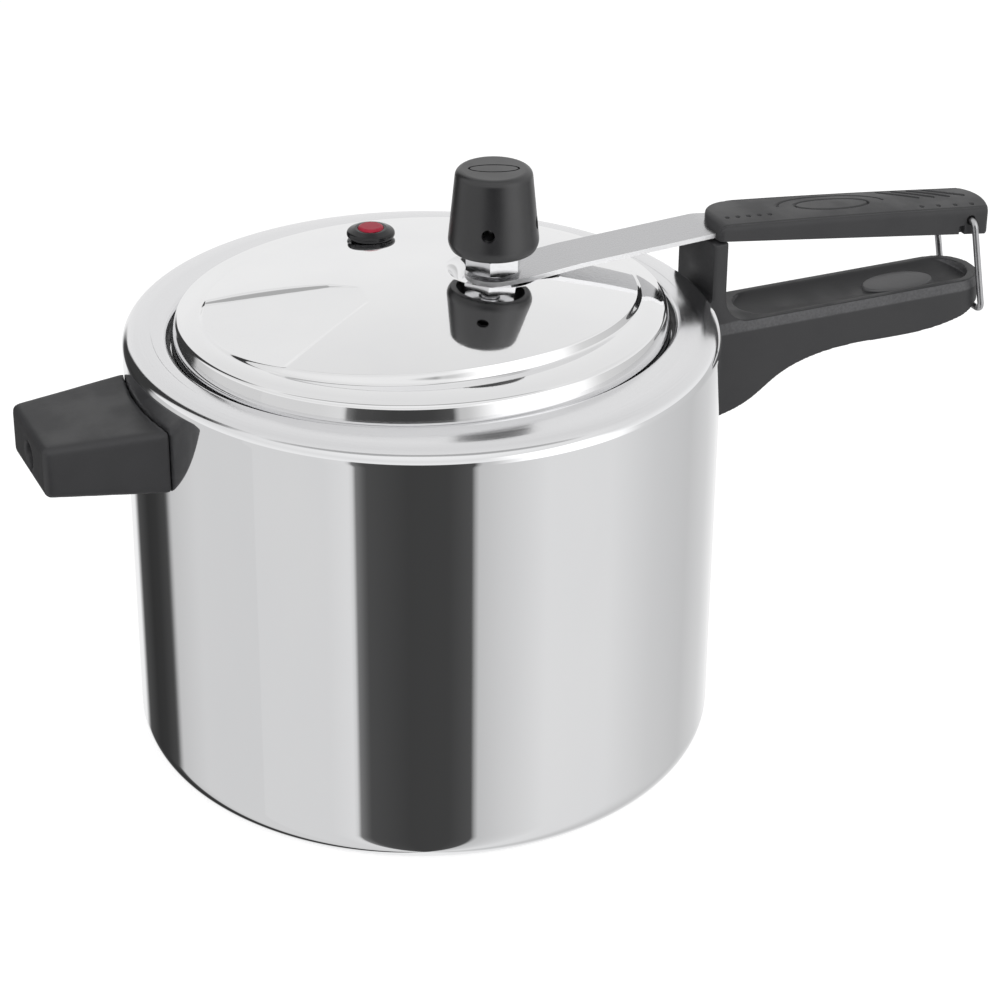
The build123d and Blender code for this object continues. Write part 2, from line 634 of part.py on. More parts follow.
def stem_lock_nut():
    top = STEM_PAD_TOP_Z + LOCK_NUT_HEIGHT
    nut = hex_prism(LOCK_NUT_CORNER, STEM_PAD_TOP_Z, top, STEM_X)
    return nut - upright(STEM_RADIUS + SCREW_GAP, STEM_PAD_TOP_Z - PAST, top + PAST, STEM_X)


def strap_nut():
    low = STRAP_NUT_LOW_Z
    top = STRAP_NUT_TOP_Z
    flat = STRAP_NUT_CORNER * math.cos(math.radians(30))
    wide = flat + NUT_CHAMFER_REACH
    round_ends = turned([(0, low), (flat, low), (wide, low + NUT_CHAMFER), (wide, top - NUT_CHAMFER),
                         (flat, top), (0, top)], STEM_X)
    nut = hex_prism(STRAP_NUT_CORNER, low, top, STEM_X) & round_ends
    return nut - upright(STEM_RADIUS + SCREW_GAP, low - PAST, top + PAST, STEM_X)


# Weight regulator

def cap_mark():
    """A bare oval line sunk into the cap's top."""
    outer = Ellipse(CAP_MARK_LENGTH / 2, CAP_MARK_WIDTH / 2)
    inner = Ellipse(CAP_MARK_LENGTH / 2 - CAP_MARK_LINE, CAP_MARK_WIDTH / 2 - CAP_MARK_LINE)
    line = Rot(0, 0, CAP_MARK_TURN) * (outer - inner)
    return Pos(STEM_X, 0, CAP_TOP_Z - CAP_MARK_DEPTH) * extrude(line, 2 * CAP_MARK_DEPTH)


def regulator_cap():
    wide_z = CAP_LOW_Z + CAP_WIDE_RISE
    side = turned([(0, CAP_LOW_Z), (CAP_LOW_RADIUS, CAP_LOW_Z), (CAP_WIDE_RADIUS, wide_z),
                   (CAP_TOP_RADIUS, CAP_TOP_Z), (0, CAP_TOP_Z)], STEM_X)
    rings = side.edges().filter_by(GeomType.CIRCLE).sort_by(Axis.Z)
    side = fillet(rings[1], 2 * CAP_TOP_ROUND)
    side = fillet(side.edges().filter_by(GeomType.CIRCLE).sort_by(Axis.Z)[-1], CAP_TOP_ROUND)
    side = fillet(side.edges().filter_by(GeomType.CIRCLE).sort_by(Axis.Z)[0], CAP_LOW_ROUND)
    room = turned([(0, CAP_LOW_Z - PAST), (CAP_LOW_RADIUS - CAP_SHELL, CAP_LOW_Z - PAST),
                   (CAP_LOW_RADIUS - CAP_SHELL, CAP_LOW_Z), (CAP_WIDE_RADIUS - CAP_SHELL, wide_z),
                   (CAP_TOP_RADIUS - CAP_SHELL, CAP_TOP_Z - CAP_SHELL), (0, CAP_TOP_Z - CAP_SHELL)], STEM_X)
    cap = side - room - cap_mark()
    for index in range(CAP_HOLE_COUNT):
        turn = CAP_HOLE_AZIMUTH + index * 360 / CAP_HOLE_COUNT
        inside = CAP_TOP_RADIUS - CAP_SHELL - PAST
        hole = along_x(CAP_HOLE_RADIUS, inside, CAP_WIDE_RADIUS + PAST, z=CAP_HOLE_Z)
        cap = cap - Pos(STEM_X, 0, 0) * Rot(0, 0, turn) * hole
    return cap


def regulator_weight():
    top = CAP_TOP_Z - CAP_SHELL
    block = turned([(0, WEIGHT_LOW_Z), (WEIGHT_RADIUS, WEIGHT_LOW_Z), (WEIGHT_RADIUS, top), (0, top)], STEM_X)
    block = block - upright(WEIGHT_BORE, WEIGHT_LOW_Z - PAST, WEIGHT_BORE_TOP_Z, STEM_X)
    return block - upright(NEEDLE_RADIUS + SCREW_GAP, WEIGHT_BORE_TOP_Z - PAST, NEEDLE_TOP_Z, STEM_X)


def regulator_needle():
    tip = STEM_TOP_Z + NEEDLE_TIP_GAP
    outline = [(0, tip), (NEEDLE_TIP_RADIUS, tip), (NEEDLE_RADIUS, tip + NEEDLE_TIP_LENGTH),
               (NEEDLE_RADIUS, NEEDLE_TOP_Z), (0, NEEDLE_TOP_Z)]
    return turned(outline, STEM_X)


# Safety valve

def safety_valve_body():
    seat = VALVE_PAD_TOP_Z
    low = VALVE_PAD_LOW_Z
    top = seat + VALVE_HEIGHT
    flange_low = low - VALVE_LOW_FLANGE_HEIGHT
    side = turned([(VALVE_BORE, flange_low), (VALVE_LOW_FLANGE_RADIUS, flange_low),
                   (VALVE_LOW_FLANGE_RADIUS, low), (VALVE_NECK_RADIUS, low), (VALVE_NECK_RADIUS, seat),
                   (VALVE_FOOT_RADIUS, seat), (VALVE_RADIUS, seat + VALVE_WIDE_LOW),
                   (VALVE_RADIUS, seat + VALVE_WIDE_HIGH), (VALVE_TOP_RADIUS, top), (VALVE_CUP_RADIUS, top),
                   (VALVE_CUP_RADIUS, top - VALVE_CUP_DEPTH), (VALVE_BORE, top - VALVE_CUP_DEPTH)],
                  VALVE_X, VALVE_Y)
    circles = side.edges().filter_by(GeomType.CIRCLE)
    return fillet([e for e in circles if abs(e.radius - VALVE_RADIUS) < TINY], VALVE_ROUND)


def safety_plug():
    cup_floor = VALVE_PAD_TOP_Z + VALVE_HEIGHT - VALVE_CUP_DEPTH
    top = VALVE_PAD_TOP_Z + VALVE_HEIGHT
    stop_top = VALVE_PAD_LOW_Z - VALVE_LOW_FLANGE_HEIGHT - PLUG_TRAVEL - FIT_GAP
    stop_low = stop_top - PLUG_STOP_HEIGHT
    outline = [(0, stop_low), (PLUG_STOP_RADIUS, stop_low), (PLUG_STOP_RADIUS, stop_top),
               (PLUG_STEM_RADIUS, stop_top), (PLUG_STEM_RADIUS, cup_floor + FIT_GAP),
               (PLUG_RADIUS, cup_floor + FIT_GAP), (PLUG_RADIUS, top + PLUG_CROWN), (0, top + PLUG_CROWN)]
    plug = turned(outline, VALVE_X, VALVE_Y)
    return fillet(plug.edges().filter_by(GeomType.CIRCLE).sort_by(Axis.Z)[-1], PLUG_ROUND)


# Spring lever

def strap_slope():
    start, end = STRAP_LINE[-2:]
    return math.degrees(math.atan2(start[1] - end[1], end[0] - start[0]))


def on_strap(distance):
    """A place on the strap inside the handle, with Z square to the strap."""
    start = STRAP_LINE[-2]
    turn = math.radians(strap_slope())
    place = Pos(start[0] + distance * math.cos(turn), 0, start[1] - distance * math.sin(turn))
    return place * Rot(0, strap_slope(), 0)


def spring_strap():
    path = Plane.XZ * FilletPolyline(*STRAP_LINE, radius=STRAP_BEND_RADII)
    start = Plane(origin=path @ 0, x_dir=(0, 1, 0), z_dir=path % 0)
    band = sweep(start * Rectangle(STRAP_WIDTH, STRAP_THICKNESS), path)
    end_x = STRAP_LINE[-1][0]
    plan = Pos((STEM_X + end_x) / 2, 0) * SlotCenterToCenter(end_x - STEM_X, STRAP_WIDTH)
    band = band & extrude(plan, POT_HEIGHT + BEYOND)
    band = band - upright(STRAP_STEM_HOLE, 0, POT_HEIGHT + BEYOND, STEM_X)
    for distance in UPPER_SCREW_DISTANCES:
        band = band - on_strap(distance) * Cylinder(UPPER_SCREW_RADIUS + SCREW_GAP, STRAP_WIDTH)
    return band


def upper_top_z(x):
    """Height of the upper handle's top line."""
    share = (x - UPPER_START_X) / (UPPER_END_X - UPPER_START_X)
    return UPPER_TOP_FRONT_Z + share * (UPPER_TOP_END_Z - UPPER_TOP_FRONT_Z)


def upper_top_slope():
    return math.degrees(math.atan2(UPPER_TOP_FRONT_Z - UPPER_TOP_END_Z, UPPER_END_X - UPPER_START_X))


def upper_block():
    end_low = (UPPER_END_X, UPPER_LOW_END[1] + UPPER_END_CORNER)
    outline = Polyline((UPPER_START_X, UPPER_LOW_FRONT_Z), UPPER_LOW_END, end_low,
                       (UPPER_END_X, UPPER_TOP_END_Z), (UPPER_START_X, UPPER_TOP_FRONT_Z), close=True)
    return side_prism(outline, UPPER_FRONT_HALF_WIDTH)


def front_corner(radius, side):
    """Three places on a round front corner of the upper handle: on its side, on the turn and on its front."""
    turn = radius * (1 - math.sin(math.radians(45)))
    half = UPPER_FRONT_HALF_WIDTH
    on_side = (UPPER_START_X + radius, side * half)
    on_turn = (UPPER_START_X + turn, side * (half - turn))
    on_front = (UPPER_START_X, side * (half - radius))
    return on_side, on_turn, on_front


def upper_plan():
    """Plan of the upper handle: narrowing to a bulging end, with a rounder front corner on the far side."""
    half = UPPER_HALF_WIDTH
    shoulder = UPPER_END_X - UPPER_END_BULGE
    near = front_corner(UPPER_NEAR_ROUND, -1)
    far = front_corner(UPPER_FAR_ROUND, 1)
    outline = Curve() + [
        Line(far[0], (shoulder, half)),
        ThreePointArc((shoulder, half), (UPPER_END_X, 0), (shoulder, -half)),
        Line((shoulder, -half), near[0]),
        ThreePointArc(*near),
        Line(near[2], far[2]),
        ThreePointArc(far[2], far[1], far[0]),
    ]
    return make_face(outline)


def upper_crown():
    """A long round bar whose top is the handle's crowned back."""
    middle = (UPPER_START_X + UPPER_END_X) / 2
    place = Pos(middle, 0, upper_top_z(middle)) * Rot(0, upper_top_slope(), 0)
    return place * Pos(0, 0, -UPPER_CROWN_RADIUS) * Rot(0, 90, 0) * Cylinder(UPPER_CROWN_RADIUS, WIDE)


def dot_row(start, step, count):
    return [Pos(start[0] + index * step, start[1]) * Circle(MARK_DOT_RADIUS) for index in range(count)]


def oval_line(length, width):
    """A thin ring on an oval."""
    outer = Ellipse(length / 2, width / 2)
    return outer - Ellipse(length / 2 - MARK_OVAL_LINE, width / 2 - MARK_OVAL_LINE)


def upper_marks():
    """Plan of the sunk marks: a bare oval line, an arc behind it, rows of dots and slanting grooves."""
    oval = oval_line(MARK_OVAL_LENGTH, MARK_OVAL_WIDTH)
    behind = Pos(0, WIDE / 2 + MARK_ARC_LOW_Y) * Rectangle(WIDE, WIDE)
    arc = oval_line(MARK_ARC_LENGTH, MARK_ARC_WIDTH) & behind
    marks = [Pos(MARK_OVAL_CENTRE_X, 0) * line for line in (oval, arc)]
    marks += dot_row(FRONT_DOTS_START, FRONT_DOTS_STEP, FRONT_DOTS_COUNT)
    marks += dot_row(END_DOTS_START, END_DOTS_STEP, END_DOTS_COUNT)
    run = (GROOVE_END[0] - GROOVE_START[0], GROOVE_END[1] - GROOVE_START[1])
    slot = SlotCenterToCenter(math.hypot(*run), GROOVE_WIDTH)
    slot = Rot(0, 0, math.degrees(math.atan2(run[1], run[0]))) * slot
    for index in range(GROOVE_COUNT):
        middle = (GROOVE_START[0] + run[0] / 2 + index * GROOVE_STEP, GROOVE_START[1] + run[1] / 2)
        marks.append(Pos(*middle) * slot)
    return marks


def upper_mark_cut():
    """The marks as a thin layer that follows the crowned top."""
    layer = Part() + [extrude(Pos(0, 0, UPPER_LOW_END[1]) * mark, BEYOND) for mark in upper_marks()]
    sunk_bar = Pos(0, 0, -MARK_DEPTH) * upper_crown()
    return layer - sunk_bar


def bail_slots():
    """Slots beside the bail's holes, open at the lower edge of both sides."""
    slot = Box(BAIL_SLOT_WIDTH, 2 * BAIL_SLOT_DEPTH, 2 * BEYOND)
    slots = [Pos(BAIL_SLOT_X, side * UPPER_HALF_WIDTH, BAIL_SLOT_TOP_Z - BEYOND) * slot for side in (-1, 1)]
    return Part() + slots


def upper_handle():
    body = upper_block() & extrude(upper_plan(), POT_HEIGHT + BEYOND)
    body = body & upper_crown()
    top_edges = body.faces().filter_by(GeomType.CYLINDER).sort_by(SortBy.AREA)[-1].edges()
    body = fillet(top_edges, UPPER_EDGE_ROUND)
    length = STRAP_LINE[-1][0] - STRAP_LINE[-2][0]
    pocket_length = length + POCKET_FRONT_REACH + POCKET_END_ROOM
    pocket = Box(pocket_length, STRAP_WIDTH + 2 * POCKET_SLACK, STRAP_THICKNESS + 2 * POCKET_SLACK)
    body = body - on_strap(pocket_length / 2 - POCKET_FRONT_REACH) * pocket
    hole_length = 2 * (UPPER_SCREW_REACH + SCREW_END_ROOM)
    for distance in UPPER_SCREW_DISTANCES:
        body = body - on_strap(distance) * Cylinder(UPPER_SCREW_RADIUS + SCREW_GAP, hole_length)
    hole = Pos(BAIL_PIVOT[0], 0, BAIL_PIVOT[1]) * Rot(90, 0, 0) * Cylinder(BAIL_HOLE, 4 * UPPER_HALF_WIDTH)
    return body - hole - bail_slots() - upper_mark_cut()


def upper_handle_screws():
    screws = []
    for distance in UPPER_SCREW_DISTANCES:
        length = UPPER_SCREW_REACH + UPPER_SCREW_HEAD_LOW
        shank = Pos(0, 0, UPPER_SCREW_REACH - length / 2) * Cylinder(UPPER_SCREW_RADIUS, length)
        head_middle = -UPPER_SCREW_HEAD_LOW - UPPER_SCREW_HEAD_HEIGHT / 2
        head = Pos(0, 0, head_middle) * Cylinder(UPPER_SCREW_HEAD_RADIUS, UPPER_SCREW_HEAD_HEIGHT)
        screws.append(on_strap(distance) * (shank + head))
    return Compound(screws)


def latch_bail():
    half = BAIL_HALF_WIDTH
    inner = UPPER_HALF_WIDTH - BAIL_END_DEPTH
    points = [(BAIL_PIVOT[0], inner, BAIL_PIVOT[1]), (BAIL_PIVOT[0], half, BAIL_PIVOT[1]),
              (BAIL_BAR[0], half, BAIL_BAR[1]), (BAIL_BAR[0], -half, BAIL_BAR[1]),
              (BAIL_PIVOT[0], -half, BAIL_PIVOT[1]), (BAIL_PIVOT[0], -inner, BAIL_PIVOT[1])]
    bends = [BAIL_TOP_BEND, BAIL_LOW_BEND, BAIL_LOW_BEND, BAIL_TOP_BEND]
    path = FilletPolyline(*points, radius=bends)
    start = Plane(origin=path @ 0, z_dir=path % 0)
    return sweep(start * Circle(BAIL_WIRE), path)


def rivets(places):
    return Compound([rivet(place) for place in places])


NODES = {
    "pot_body": pot_body,
    "handle_bracket": handle_bracket,
    "handle_bracket_rivets": lambda: rivets(HANDLE_RIVETS),
    "lower_handle": lower_handle,
    "lower_handle_screw": handle_screw,
    "lower_handle_washer": handle_washer,
    "helper_bracket": helper_bracket,
    "helper_bracket_rivets": lambda: rivets(HELPER_RIVETS),
    "helper_handle": helper_handle,
    "helper_handle_screw": helper_screw,
    "helper_handle_washer": helper_washer,
    "lid": lid,
    "lid_gasket": lid_gasket,
    "vent_stem": vent_stem,
    "stem_seal": stem_seal,
    "stem_lock_nut": stem_lock_nut,
    "strap_nut": strap_nut,
    "safety_valve_body": safety_valve_body,
    "safety_plug": safety_plug,
    "regulator_cap": regulator_cap,
    "regulator_weight": regulator_weight,
    "regulator_needle": regulator_needle,
    "spring_strap": spring_strap,
    "upper_handle": upper_handle,
    "upper_handle_screws": upper_handle_screws,
    "latch_bail": latch_bail,
}

os.makedirs("parts", exist_ok=True)
for name, make in NODES.items():
    export_step(make(), f"parts/{name}.step")
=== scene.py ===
import json
import math

import bpy
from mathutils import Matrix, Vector

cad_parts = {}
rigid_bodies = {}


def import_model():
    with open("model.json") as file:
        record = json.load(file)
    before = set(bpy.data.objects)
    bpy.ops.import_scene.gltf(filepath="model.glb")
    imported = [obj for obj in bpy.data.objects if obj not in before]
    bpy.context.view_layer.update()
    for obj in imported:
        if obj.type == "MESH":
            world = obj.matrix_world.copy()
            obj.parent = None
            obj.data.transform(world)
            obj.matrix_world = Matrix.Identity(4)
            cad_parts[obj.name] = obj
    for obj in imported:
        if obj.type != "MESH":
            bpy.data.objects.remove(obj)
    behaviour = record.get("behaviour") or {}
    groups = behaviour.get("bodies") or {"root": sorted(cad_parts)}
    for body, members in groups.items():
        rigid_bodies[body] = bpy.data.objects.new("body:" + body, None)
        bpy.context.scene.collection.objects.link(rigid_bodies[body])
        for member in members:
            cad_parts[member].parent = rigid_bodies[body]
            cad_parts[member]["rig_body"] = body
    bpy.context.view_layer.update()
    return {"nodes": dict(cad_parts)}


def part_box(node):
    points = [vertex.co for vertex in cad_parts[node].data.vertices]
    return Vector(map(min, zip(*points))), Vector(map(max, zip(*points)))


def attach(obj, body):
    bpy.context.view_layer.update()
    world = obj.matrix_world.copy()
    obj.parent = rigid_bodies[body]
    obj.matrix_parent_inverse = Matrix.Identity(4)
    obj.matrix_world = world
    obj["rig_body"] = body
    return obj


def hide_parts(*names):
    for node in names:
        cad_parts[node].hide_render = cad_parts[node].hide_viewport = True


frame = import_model()
nodes = frame["nodes"]

# Metres throughout. The pot's axis is Z and the long handles run along +X.

# Camera, at the photograph's angle
CAMERA_PLACE = Vector((-0.4021, -0.9708, 0.6607))
CAMERA_FORWARD = Vector((0.347, 0.8116, -0.47))
CAMERA_LENS = 103.52
CAMERA_SENSOR = 36.0
CAMERA_SHIFT_X = 0.048
CAMERA_CLIP = (0.05, 50.0)

# Pot, with a rim that rolls outward to a small corner
POT_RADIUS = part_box("pot_body")[1].x
POT_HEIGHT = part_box("pot_body")[1].z
POT_WALL = 0.0024
POT_BASE = 0.003
POT_RIM = 0.003
BASE_CORNER = 0.014
BASE_INNER_CORNER = 0.009
SHOULDER = 0.011
RIM_CORNER = 0.0045
RIM_LEAN = math.radians(14.0)
MOUTH = (0.103, 0.094)
MOUTH_EDGE = 0.002
POT_SEGMENTS = 384
POT_FLAT_RADII = (0.002, 0.05, 0.09)
WALL_STEPS = 12
RIM_STEPS = 8
MOUTH_STEPS = 8
SPUN_FINENESS = 2600.0
SPUN_TURN = 1.6
SPUN_EDGE = (0.0025, 0.0004)

# How far a ring stands from a corner to keep the flat beside it flat, the angle above which an edge stays
# hard, and a length too small to see
NEAR = 0.0006
SHEET_SHARP = math.radians(50)
GRIP_SHARP = math.radians(45)
TINY = 1e-6

# Lid. Pairs are half widths along X and Y.
LID_WALL = (0.1012, 0.0932)
WALL_FOOT = 0.1825
WALL_DRAFT = math.radians(17.0)
LID_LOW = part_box("lid")[0].z
LID_LEDGE = 0.191
LEDGE_FALL = 0.0012
LID_SHEET = 0.0032
LID_ROUND = 0.0022
LID_FLANGE = (0.1092, 0.1012)
LID_FLANGE_THICKNESS = 0.002
DOME_RADIUS = 0.48
DOME_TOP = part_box("lid")[1].z
PLATEAU = (0.0885, 0.073)
PLATEAU_RINGS = 150
STEP_REACH = 0.0022
STEP_RINGS = 16
LEDGE_RINGS = 12
UNDER_SHARES = (0.93, 0.8, 0.6, 0.4, 0.2, 0.02)
LID_SEGMENTS = 640
RECESS_CORNERS = [(-0.104, 0.036), (-0.036, 0.0108), (-0.025, 0.003), (-0.028, -0.010), (-0.104, -0.0601)]
RECESS_OUTER_X = -0.090
RECESS_INNER_X = -0.026
RECESS_INNER_Z = 0.2002
RECESS_NEAR_Y = -0.012
RECESS_FAR_Y = 0.006
RECESS_NEAR_EASE = 0.0014
RECESS_FAR_RATIO = 2.9
RECESS_FAR_POWER = 1.3
DISH_CENTRE_X = 0.031
DISH_FLOOR = 0.1946
DISH_FLOOR_RADIUS = 0.0132
DISH_RIM_RADIUS = 0.0195
STRAP_ROOM_LOW = 0.1965
STRAP_ROOM_BEND_X = 0.042
STRAP_ROOM_SLOPE = 0.0955
STRAP_ROOM_HALF = (0.0121, 0.0141)
VALVE_SEAT_PLACE = (-0.0006, 0.0536)
VALVE_SEAT_Z = 0.198
VALVE_SEAT_RADIUS = 0.0106
SEAT_EASE = 0.002

# Upper handle: half width, ridge and underside at the front and the end, and the marks sunk in its top
UPPER_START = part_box("upper_handle")[0].x
UPPER_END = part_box("upper_handle")[1].x
UPPER_HALF = (0.0152, 0.013)
UPPER_TOP = (0.2078, 0.1948)
UPPER_LOW = (0.2017, 0.1832)
UPPER_BOW = 0.0006
UPPER_CROWN = 0.0009
UPPER_RIDGE_ROUND = 0.0016
UPPER_NOSE = 0.0045
UPPER_NEAR_CORNER = 0.0025
UPPER_FAR_CORNER = 0.022
UPPER_BULGE = 0.0035
UPPER_TAIL_ROUND = 0.0014
UPPER_STEP = 0.0004
UPPER_ACROSS = 104
UPPER_BULGE_REACH = 0.012
UPPER_SIDE_STEPS = 8
UPPER_END_SHARES = (0.03, 0.15, 0.4, 0.7)
LIP_GROOVE_INSET = 0.0018
LIP_GROOVE_HALF = 0.0004
LIP_GROOVE_DEPTH = 0.0003
MARK_DEPTH = 0.0009
GROOVE_DEPTH = 0.0014
MARK_SOFT = 0.00022
OVAL_CENTRE_X = 0.1861
OVAL_HALF = (0.0175, 0.0056)
OVAL_LINE_HALF = 0.0005
ARC_HALF = (0.0255, 0.0096)
ARC_LINE_HALF = 0.0005
ARC_FADE = 0.0015
DOT_RADIUS = 0.0009
# Each row of dots: first X, Y, step and count
FRONT_DOTS = (0.1331, -0.0064, 0.005, 5)
END_DOTS = (0.2253, -0.0085, 0.0083, 4)
# The first slanting groove, and how the others follow it
GROOVE_START = (0.2145, 0.0102)
GROOVE_RUN = (0.0142, -0.0092)
GROOVE_STEP = 0.0076
GROOVE_COUNT = 4
GROOVE_HALF = 0.0009
BAIL_PIVOT = (0.2475, 0.1908)
BAIL_HOLE_RADIUS = 0.0022
BAIL_HOLE_DEPTH = 0.0022
BAIL_SLOT = (0.2419, 0.2446)
BAIL_SLOT_TOP = 0.1888
BAIL_SLOT_DEPTH = 0.02
CUTTER_PAST = 0.002
CUTTER_SEGMENTS = 40

# Lower handle's grainy band, painted lighter as if it caught light from above, where its post begins, and
# the smooth oval pad in its top
BAND_EDGE = (0.159, 0.16)
POST_FOOT = (0.1652, 0.1642)
PAD_CENTRE = (0.2215, 0.0)
PAD_HALF = (0.0163, 0.0088)
PAD_LOW = 0.1598
PAD_TOP = 0.1619
PAD_SEGMENTS = 96
# Rings of the pad: share of its half widths, and height
PAD_RINGS = [(1.04, PAD_LOW), (1.0, PAD_TOP - 0.0003), (0.985, PAD_TOP - 0.0001), (0.96, PAD_TOP),
             (0.6, PAD_TOP), (0.05, PAD_TOP)]

# Moulded edges: voxel size and rounds of easing
LOWER_MOULD = (0.0006, 5)
HELPER_MOULD = (0.0009, 3)

# Depth of the grain in metal and plastic, black plastic's tones, roughness of the strap's cut edges
METAL_GRAIN = 0.0001
PLASTIC_GRAIN = 0.0002
BLACK_TONES = ((0.022, 0.022, 0.023, 1), (0.032, 0.032, 0.034, 1))
EDGE_ROUGHNESS = 0.5

# Studio: brightness that polished metal sees near the ground, by compass direction in degrees from +X,
# and higher up, by degrees above the horizon. A lit panel stands on one side, a tall dark flag on the other,
# and a dim gap lies high up at the back.
LOW_TONES = [(-180, 0.73), (-150, 0.73), (-139.5, 0.79), (-138, 0.2), (-134, 0.075), (-118, 0.052),
             (-103, 0.055), (-94, 0.085), (-92, 0.58), (-82, 0.67), (-64, 0.8), (-36, 0.79), (-12, 0.67),
             (12, 0.6), (30, 0.7), (50, 0.92), (92, 0.92), (99, 0.08), (112, 0.035), (120, 0.04),
             (129, 0.07), (133, 0.6), (150, 0.7)]
HIGH_TONES = [(0, 0.93), (20, 0.93), (44, 0.82), (70, 0.95), (90, 1.0)]
LOW_TOP = 11.0
LOW_EASE = 4.0
PANEL_COMPASS = (-68.0, -46.0)
PANEL_COMPASS_EASE = 22.0
PANEL_HEIGHT = (-16.0, 42.0)
PANEL_HEIGHT_EASE = 6.0
PANEL_TONE = (1.4, 1.4, 1.4, 1.0)
GAP_COMPASS = (20.0, 115.0)
GAP_COMPASS_EASE = 40.0
GAP_HEIGHT = (64.0, 80.0)
GAP_HEIGHT_EASE = 5.0
GAP_TONE = (0.46, 0.46, 0.46, 1.0)
FLAG_COMPASS = (103.0, 126.0)
FLAG_COMPASS_EASE = 6.0
FLAG_HEIGHT = (0.0, 48.0)
FLAG_HEIGHT_EASE = 9.0
FLAG_TONE = (0.045, 0.045, 0.045, 1.0)
AMBIENT = 0.42
FLOOR_HALF = 4.0
FLOOR_LEVEL = -0.0002
FLOOR_TONE = (0.6, 0.6, 0.6, 1)
FLOOR_GLOW = 0.62

# Lamps: name, place, size and power. They all face the middle of the pot.
LAMPS = [("key", (-0.7, -1.5, 0.9), 1.2, 24.0), ("fill", (1.3, -0.5, 1.2), 1.4, 7.0),
         ("top", (0.1, 0.3, 1.8), 1.6, 6.0)]
LAMP_AIM = Vector((0, 0, 0.12))


# Shader node helpers

def add(tree, kind, settings=None, inputs=None):
    """A shader node. Inputs are sockets to link from, or plain values."""
    made = tree.nodes.new("ShaderNode" + kind)
    for name, value in (settings or {}).items():
        setattr(made, name, value)
    for name, value in (inputs or {}).items():
        if isinstance(value, bpy.types.NodeSocket):
            tree.links.new(value, made.inputs[name])
        else:
            made.inputs[name].default_value = value
    return made


def maths(tree, operation, first, second=0.0, third=0.0):
    made = add(tree, "Math", {"operation": operation}, {0: first, 1: second, 2: third})
    return made.outputs[0]


def ramp_between(tree, value, low, high, result_low=0.0, result_high=1.0):
    """A value eased from one result to another as it goes from low to high."""
    limits = {"From Min": low, "From Max": high, "To Min": result_low, "To Max": result_high}
    made = add(tree, "MapRange", {"interpolation_type": "SMOOTHSTEP"}, {"Value": value, **limits})
    return made.outputs[0]


def mix_colours(tree, share, first, second):
    made = add(tree, "Mix", {"data_type": "RGBA"}, {0: share, 6: first, 7: second})
    return made.outputs[2]


def noise(tree, vector, scale, detail=3.0, roughness=0.55):
    made = add(tree, "TexNoise", None,
               {"Vector": vector, "Scale": scale, "Detail": detail, "Roughness": roughness})
    return made.outputs[0]


def stretched(tree, scale):
    """The piece's own coordinates, stretched by a scale for each axis."""
    place = add(tree, "TexCoord").outputs["Object"]
    return add(tree, "Mapping", None, {"Vector": place, "Scale": scale}).outputs[0]


def bump(tree, height, strength, distance):
    inputs = {"Height": height, "Strength": strength, "Distance": distance}
    return add(tree, "Bump", None, inputs).outputs[0]


def new_material(name):
    material = bpy.data.materials.new(name)
    material.use_nodes = True
    tree = material.node_tree
    return material, tree, tree.nodes["Principled BSDF"]


def link(tree, socket, shader, name):
    tree.links.new(socket, shader.inputs[name])


# Materials

def around_axis(tree, fine):
    """Coordinates in which lines run round the pot's axis, on walls and on flat faces alike."""
    place = add(tree, "TexCoord").outputs["Object"]
    parts = add(tree, "SeparateXYZ", None, {"Vector": place})
    x, y, z = parts.outputs
    flat = add(tree, "CombineXYZ", None, {"X": x, "Y": y}).outputs[0]
    radius = add(tree, "VectorMath", {"operation": "LENGTH"}, {0: flat}).outputs["Value"]
    turn = maths(tree, "ARCTAN2", y, x)
    lines = add(tree, "CombineXYZ", None, {
        "X": maths(tree, "MULTIPLY", radius, fine),
        "Y": maths(tree, "MULTIPLY", z, fine),
        "Z": maths(tree, "MULTIPLY", turn, SPUN_TURN),
    }).outputs[0]
    return lines, z


def pot_aluminium():
    """Polished wall and shoulder, with finely spun lines on the flat rim."""
    material, tree, shader = new_material("pot_polished_aluminium")
    lines, height = around_axis(tree, SPUN_FINENESS)
    spun = noise(tree, lines, 1.0, 4.0, 0.7)
    smudge = noise(tree, stretched(tree, (26.0, 26.0, 9.0)), 1.0, 3.0)
    top = ramp_between(tree, height, POT_HEIGHT - SPUN_EDGE[0], POT_HEIGHT - SPUN_EDGE[1])
    wall_rough = ramp_between(tree, smudge, 0.3, 0.7, 0.02, 0.05)
    rim_rough = ramp_between(tree, spun, 0.25, 0.75, 0.12, 0.2)
    rough = add(tree, "Mix", None, {0: top, 2: wall_rough, 3: rim_rough}).outputs[0]
    link(tree, rough, shader, "Roughness")
    tone = mix_colours(tree, spun, (0.74, 0.74, 0.75, 1), (0.84, 0.84, 0.85, 1))
    plain = mix_colours(tree, smudge, (0.84, 0.845, 0.86, 1), (0.89, 0.89, 0.895, 1))
    link(tree, mix_colours(tree, top, plain, tone), shader, "Base Color")
    strength = maths(tree, "MULTIPLY_ADD", top, 0.05, 0.01)
    link(tree, bump(tree, spun, strength, METAL_GRAIN), shader, "Normal")
    shader.inputs["Metallic"].default_value = 1.0
    return material


